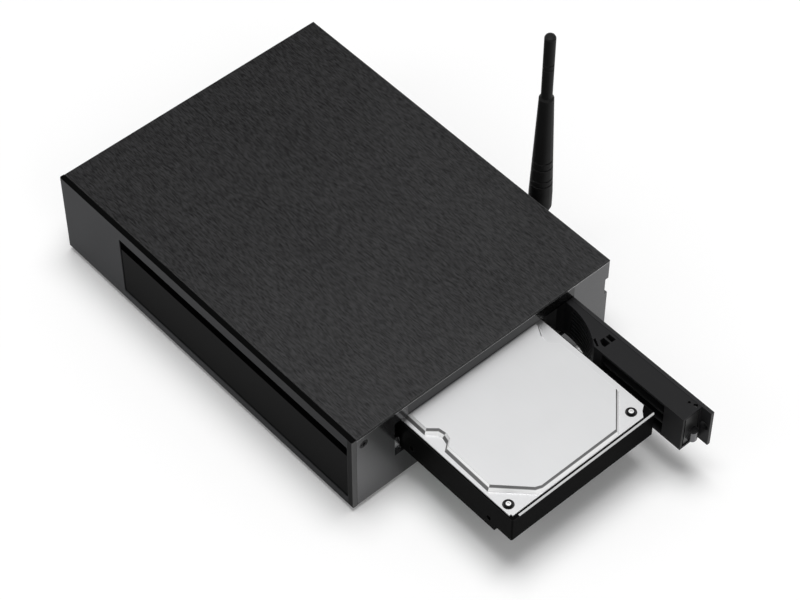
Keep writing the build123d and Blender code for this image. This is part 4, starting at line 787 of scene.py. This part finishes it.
# ---- Operators ----
class PLAYER_OT_stage(bpy.types.Operator):
    """Camera at the photograph's angle, pale floor, soft lamps and even light all round"""

    bl_idname = "player.stage"
    bl_label = "Stage"

    def execute(self, context):
        settings = context.scene.stage_settings
        self.add_camera(context, settings)
        self.add_floor(settings)
        self.add_lamps(settings)
        self.add_world(context, settings)
        context.scene.view_settings.view_transform = "Standard"
        return {"FINISHED"}

    def add_camera(self, context, settings):
        """A long lens that looks down on the player from the right front."""
        data = bpy.data.cameras.new("camera")
        data.lens = settings.lens
        data.sensor_width = SENSOR_WIDTH
        data.clip_end = VIEW_RANGE
        camera = placed("camera", data)
        toward = Vector(CAMERA_TOWARD).normalized()
        level = toward.cross(Vector((0, 0, 1))).normalized()
        right = Matrix.Rotation(math.radians(CAMERA_ROLL), 3, toward) @ level
        up = right.cross(toward)
        turn = Matrix((right, up, -toward)).transposed()
        camera.matrix_world = Matrix.Translation(CAMERA_PLACE) @ turn.to_4x4()
        context.scene.camera = camera

    def add_floor(self, settings):
        """A pale floor under the feet that shows white and keeps the shadow."""
        glow_start, glow_end, near_glow, more_glow = 0.35, 1.6, 0.06, 0.9
        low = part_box("rubber_feet")[0][2]
        reach = settings.floor_reach
        corners = [(x * reach, y * reach, low) for x, y in ((-1, -1), (1, -1), (1, 1), (-1, 1))]
        mesh = bpy.data.meshes.new("floor")
        mesh.from_pydata(corners, [], [(0, 1, 2, 3)])
        floor = placed("floor", mesh)
        f = Finish("floor_white")
        lit = f.node("ShaderNodeBsdfDiffuse", inputs={"Color": tint(0.95)})
        x, y, _ = f.axes()
        away = distance(x, y).ramp(glow_start, glow_end)
        glow = away * more_glow + near_glow
        white = f.node("ShaderNodeEmission", inputs={"Color": tint(1.0), "Strength": glow})
        both = f.node("ShaderNodeAddShader", inputs={0: lit, 1: white})
        shown = f.node("ShaderNodeMixShader", inputs={0: f.seen(), 1: lit, 2: both})
        f.node("ShaderNodeOutputMaterial", inputs={"Surface": shown})
        mesh.materials.append(f.material)

    def add_lamps(self, settings):
        """A large soft key almost straight above and weak fills from the right and the front."""
        aim, weak_share = Vector((0.03, 0, 0.03)), 0.06
        weak = settings.key_power * weak_share
        lamps = (
            ("key", (-0.1, 0.2, 2.9), 1.6, settings.key_power),
            ("fill", (1.6, -0.4, 1.2), 1.2, weak),
            ("front", (-0.5, -1.8, 1.0), 1.4, weak),
        )
        for name, place, size, power in lamps:
            data = bpy.data.lights.new(name, "AREA")
            data.size = size
            data.energy = power
            lamp = placed(name, data)
            lamp.location = place
            lamp.rotation_euler = (aim - Vector(place)).to_track_quat("-Z", "Y").to_euler()

    def add_world(self, context, settings):
        """Even light, white to the camera, to gloss and through glass."""
        world = bpy.data.worlds.new("world")
        context.scene.world = world
        world.use_nodes = True
        tree = world.node_tree
        tree.nodes.clear()
        f = Finish.of_tree(tree)
        strength = f.seen() * (1.0 - settings.world_strength) + settings.world_strength
        background = f.node("ShaderNodeBackground", inputs={"Color": tint(1.0), "Strength": strength})
        f.node("ShaderNodeOutputWorld", inputs={"Surface": background})


class PLAYER_OT_case(bpy.types.Operator):
    """Top cover, side plates, tray and rear panel of the case"""

    bl_idname = "player.case"
    bl_label = "Case"

    def execute(self, context):
        props = context.scene.player_settings
        edge = props.edge_break / MM
        dress(["top_cover"], brushed_aluminium(props), edge)
        dress(["right_side_panel", "left_side_panel"], side_metal(props), edge)
        rear = satin_metal("rear_black", (0.018, 0.018, 0.019), (0.035, 0.035, 0.037), rough=0.42)
        dress(["rear_panel"], rear, edge)
        dress(["base_tray"], rolled_steel(), edge)
        return {"FINISHED"}


class PLAYER_OT_front(bpy.types.Operator):
    """Front plate, display window and what stands behind it"""

    bl_idname = "player.front"
    bl_label = "Front"

    def execute(self, context):
        props = context.scene.player_settings
        dress(["front_panel"], front_satin(props), edge=0.15)
        dress(["display_window"], dark_glass(props), edge=0.12)
        dress(["display_tube"], tube_glass(), edge=0.15)
        dress(["front_indicators"], tinted_lens())
        self.add_shadow_band()
        return {"FINISHED"}

    def add_shadow_band(self):
        """The painted shadow along the window's top: a black band, a thin film on the glass."""
        glass_recess, film_thickness, film_edge = 0.5, 0.25, 0.05
        left_margin, right_margin, top_margin, bottom_drop = 1.7, 1.0, 1.05, 8.6
        low, high = box_mm("display_window")
        glass = box_mm("front_panel")[0][1] + glass_recess
        film = Builder()
        film.block(
            (low[0] + left_margin, glass - film_thickness, high[2] - bottom_drop),
            (high[0] - right_margin, glass, high[2] - top_margin),
            film_edge,
        )
        # A black sheet of painted shadow on the glass, under the window's top edge.
        new_piece("window_shadow_band", film.mesh("window_shadow_band"), "case", shadow_band_black())


class PLAYER_OT_fasteners(bpy.types.Operator):
    """Screws, nuts, standoffs, spacers and feet"""

    bl_idname = "player.fasteners"
    bl_label = "Fasteners"

    def execute(self, context):
        zinc = bright_metal("zinc_screw", (0.5, 0.51, 0.53), rough=0.26)
        black = bright_metal("black_screw", (0.014, 0.014, 0.015), rough=0.3)
        dress(["stud_nuts", "inner_screws", "board_standoffs", "cage_spacers"], zinc)
        dress(["side_screws", "rear_screws"], black)
        dress(["drive_cover_screws"], cover_screw_metal())
        dress(["rubber_feet"], rubber(), edge=0.3)
        return {"FINISHED"}


class PLAYER_OT_boards(bpy.types.Operator):
    """Printed boards, chips, cooler, radio module, capacitors and chokes"""

    bl_idname = "player.boards"
    bl_label = "Boards"

    def execute(self, context):
        board = solder_mask(context.scene.player_settings)
        dress(["main_board", "display_board", "backplane", "drive_board"], board, edge=0.12)
        chip = chip_package()
        dress(["processor", "memory_chips"], chip, edge=0.15)
        cooler = satin_metal("heat_sink_black", (0.012, 0.012, 0.013), (0.03, 0.03, 0.032), rough=0.4)
        dress(["heat_sink"], cooler, edge=0.12)
        dress(["wifi_module"], bright_metal("shield_can", (0.6, 0.6, 0.62), rough=0.25), edge=0.15)
        self.add_capacitors()
        self.add_chokes(chip)
        return {"FINISHED"}

    def add_capacitors(self):
        """A row of can capacitors on the main board, each with its grooved foot and pressed top."""
        count, pitch, from_sink, from_rear = 5, 8.5, 4.0, 24.0
        profile = [(0, 0), (2.9, 0), (2.9, 0.5), (3.1, 0.7), (3.1, 1.6), (2.9, 1.8)]
        profile += [(3.1, 2.0), (3.1, 6.6), (2.8, 7.0), (2.5, 6.8), (0, 6.75)]
        first = box_mm("heat_sink")[0][0] + from_sink
        y = box_mm("main_board")[1][1] - from_rear
        board_top = box_mm("processor")[0][2]
        cans = Builder()
        for column in range(count):
            cans.lathe(profile, (first + column * pitch, y, board_top), steps=24)
        material = bright_metal("capacitor_can", (0.55, 0.56, 0.6), rough=0.28, turned=True)
        new_piece("board_capacitors", cans.mesh("board_capacitors"), "case", material)

    def add_chokes(self, material):
        """Square chokes with rounded shoulders near the power inlet."""
        count, pitch, half, height, shoulder = 3, 9.0, 3.0, 3.2, 0.6
        from_inlet, before_inlet = 3.0, 16.0
        cap = [(2.3, 0), (2.3, 0.35), (1.9, 0.45), (0, 0.45)]
        inlet = middle_mm("power_inlet")
        y = inlet[1] - before_inlet
        low = box_mm("processor")[0][2]
        top = low + height
        chokes = Builder()
        for column in range(count):
            x = inlet[0] - from_inlet + column * pitch
            chokes.block((x - half, y - half, low), (x + half, y + half, top), shoulder)
            chokes.lathe(cap, (x, y, top))
        new_piece("board_chokes", chokes.mesh("board_chokes"), "case", material)


class PLAYER_OT_sockets(bpy.types.Operator):
    """Rear sockets with their contacts, power switch, rocker and the drive's socket"""

    bl_idname = "player.sockets"
    bl_label = "Sockets"

    def execute(self, context):
        shell = bright_metal("socket_metal", (0.62, 0.62, 0.63), rough=0.2)
        fine, finer = {"grain_size": 3800.0, "strength": 0.15}, {"grain_size": 4200.0, "strength": 0.1}
        black = moulded_plastic("socket_black", 0.012, 0.03, rough=0.42, **fine)
        rocker = moulded_plastic("rocker_black", 0.014, 0.03, rough=0.3, **finer)
        dress(["hdmi_sockets", "usb_socket", "ethernet_socket"], shell, edge=0.15)
        dress(["audio_sockets", "power_inlet", "switch_housing", "sata_socket"], black, edge=0.15)
        dress(["power_rocker"], rocker, edge=0.25)
        self.add_contacts()
        return {"FINISHED"}

    def add_contacts(self):
        """Gold contacts on the picture and data sockets' tongues and in the network mouth."""
        gold = bright_metal("gold_contact", (0.83, 0.6, 0.24), rough=0.18)
        contacts = Builder()

        low, high = box_mm("hdmi_sockets")
        end_to_middle, rise, thickness = 7.5, 4.0, 0.12
        depths = (high[1] - 9.0, high[1] - 1.8)
        heights = (low[2] + rise, low[2] + rise + thickness)
        for middle in (low[0] + end_to_middle, high[0] - end_to_middle):
            contacts.pins(middle, depths, heights, count=9, pitch=1.1, half_width=0.2)

        low, high = box_mm("usb_socket")
        port_floors, rise, thickness = (1.0, 8.6), 2.9, 0.14
        depths = (high[1] - 11.0, high[1] - 1.9)
        for floor in port_floors:
            top = low[2] + floor + rise
            middle = (low[0] + high[0]) / 2
            contacts.pins(middle, depths, (top - thickness, top), count=4, pitch=2.4, half_width=0.5)

        low, high = box_mm("ethernet_socket")
        middle = (low[0] + high[0]) / 2
        rise, thickness, slant = 3.2, 0.3, Matrix.Rotation(math.radians(-24), 4, "X")
        depths = (high[1] - 9.5, high[1] - 2.5)
        heights = (low[2] + rise, low[2] + rise + thickness)
        contacts.pins(middle, depths, heights, count=8, pitch=1.02, half_width=0.2, turn=slant)
        new_piece("socket_contacts", contacts.mesh("socket_contacts"), "case", gold)


class PLAYER_OT_bay(bpy.types.Operator):
    """Drive cage, hinge bracket, runners, flat cables and the antenna's lead"""

    bl_idname = "player.bay"
    bl_label = "Bay"

    def execute(self, context):
        dress(["drive_cage"], rolled_steel("cage_steel", tone=0.42, rough=0.34), edge=0.15)
        dress(["hinge_bracket"], rolled_steel("bracket_steel", tone=0.06, rough=0.4), edge=0.15)
        dress(["slide_runners"], nylon(), edge=0.2)
        dress(["flat_cables"], wire_jacket("cable_grey", (0.36, 0.37, 0.4)))
        dress(["antenna_lead"], wire_jacket("lead_black", (0.02, 0.02, 0.021)))
        return {"FINISHED"}


class PLAYER_OT_door(bpy.types.Operator):
    """Door panel and bar, hinge pin, clip, washers, studs and striker"""

    bl_idname = "player.door"
    bl_label = "Door"

    def execute(self, context):
        dark, light = (0.014, 0.014, 0.015), (0.03, 0.03, 0.031)
        panel = satin_metal("door_panel_satin", dark, light, rough=0.3, specular=0.08)
        dark, light = (0.008, 0.008, 0.0085), (0.018, 0.018, 0.019)
        grain = {"grain_size": 3600.0, "strength": 0.12}
        bar = moulded_plastic("door_plastic", dark, light, rough=0.36, specular=0.08, **grain)
        dress(["door_panel"], panel, edge=0.2)
        dress(["door_body"], bar, edge=0.18)
        steel = bright_metal("latch_steel", (0.6, 0.6, 0.61), rough=0.24)
        dress(["hinge_pin", "hinge_clip", "hinge_washers", "door_studs"], steel)
        dress(["door_striker"], bright_metal("striker_steel", (0.88, 0.88, 0.89), rough=0.14), edge=0.15)
        return {"FINISHED"}


class PLAYER_OT_latch(bpy.types.Operator):
    """Latch frame, bolt and spring in the bar's open end"""

    bl_idname = "player.latch"
    bl_label = "Latch"

    def execute(self, context):
        dress(["latch_frame"], rolled_steel("latch_frame_steel", tone=0.05, rough=0.3), edge=0.12)
        dress(["latch_bolt"], bright_metal("bolt_steel", (0.14, 0.14, 0.145), rough=0.16), edge=0.15)
        dress(["latch_spring"], bright_metal("spring_steel", (0.6, 0.6, 0.6), rough=0.18))
        return {"FINISHED"}


class PLAYER_OT_drive_outside(bpy.types.Operator):
    """Drive casting, pressed cover and plug"""

    bl_idname = "player.drive_outside"
    bl_label = "Drive outside"

    def execute(self, context):
        dress(["drive_base"], cast_black(), edge=0.2)
        dress(["drive_cover"], pressed_aluminium(context.scene.player_settings), edge=0.3, segments=3)
        grain = {"grain_size": 3800.0, "strength": 0.12}
        plug = moulded_plastic("plug_black", 0.012, 0.028, rough=0.4, **grain)
        dress(["drive_connector"], plug, edge=0.12)
        return {"FINISHED"}


class PLAYER_OT_drive_inside(bpy.types.Operator):
    """Disks, spindle, head arms and magnets"""

    bl_idname = "player.drive_inside"
    bl_label = "Drive inside"

    def execute(self, context):
        dress(["drive_platters"], disk_mirror(), edge=0.1)
        dress(["spindle_motor"], bright_metal("motor_steel", (0.55, 0.55, 0.56), rough=0.22, turned=True))
        dress(["coil_magnets"], bright_metal("magnet_nickel", (0.64, 0.62, 0.58), rough=0.16), edge=0.3)
        dress(["head_actuator"], bright_metal("arm_metal", (0.66, 0.67, 0.68), rough=0.24), edge=0.1)
        return {"FINISHED"}


class PLAYER_OT_antenna(bpy.types.Operator):
    """Rod antenna with its collar, pin, nut and threaded connector"""

    bl_idname = "player.antenna"
    bl_label = "Antenna"

    def execute(self, context):
        grain = {"grain_size": 4200.0, "strength": 0.12}
        rod = moulded_plastic("antenna_black", 0.003, 0.009, rough=0.44, specular=0.1, **grain)
        dress(["antenna_whip", "antenna_collar"], rod, edge=0.12)
        brass = bright_metal("gold_brass", (0.72, 0.55, 0.26), rough=0.2, turned=True)
        dress(["antenna_connector", "antenna_nut"], brass, edge=0.1)
        dress(["antenna_pin"], bright_metal("pin_steel", (0.5, 0.5, 0.51), rough=0.2))
        return {"FINISHED"}


class PLAYER_PT_panel(bpy.types.Panel):
    """Buttons for each group of pieces"""

    bl_idname = "PLAYER_PT_panel"
    bl_label = "Media player"
    bl_space_type = "VIEW_3D"
    bl_region_type = "UI"
    bl_category = "Player"

    def draw(self, context):
        for operator in OPERATORS:
            self.layout.operator(operator.bl_idname)
        for settings in (context.scene.player_settings, context.scene.stage_settings):
            for key in settings.__annotations__:
                self.layout.prop(settings, key)


OPERATORS = (
    PLAYER_OT_stage,
    PLAYER_OT_case,
    PLAYER_OT_front,
    PLAYER_OT_fasteners,
    PLAYER_OT_boards,
    PLAYER_OT_sockets,
    PLAYER_OT_bay,
    PLAYER_OT_door,
    PLAYER_OT_latch,
    PLAYER_OT_drive_outside,
    PLAYER_OT_drive_inside,
    PLAYER_OT_antenna,
)
CLASSES = (PlayerSettings, StageSettings, *OPERATORS, PLAYER_PT_panel)


def register():
    """Registers the classes and hangs the settings on the scene."""
    for item in CLASSES:
        bpy.utils.register_class(item)
    bpy.types.Scene.player_settings = bpy.props.PointerProperty(type=PlayerSettings)
    bpy.types.Scene.stage_settings = bpy.props.PointerProperty(type=StageSettings)


def unregister():
    """Takes the settings and the classes away again."""
    del bpy.types.Scene.stage_settings
    del bpy.types.Scene.player_settings
    for item in reversed(CLASSES):
        bpy.utils.unregister_class(item)


def main():
    """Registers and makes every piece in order."""
    register()
    for operator in OPERATORS:
        group, name = operator.bl_idname.split(".")
        getattr(getattr(bpy.ops, group), name)()
    bpy.context.view_layer.update()


if __name__ == "__main__":
    main()
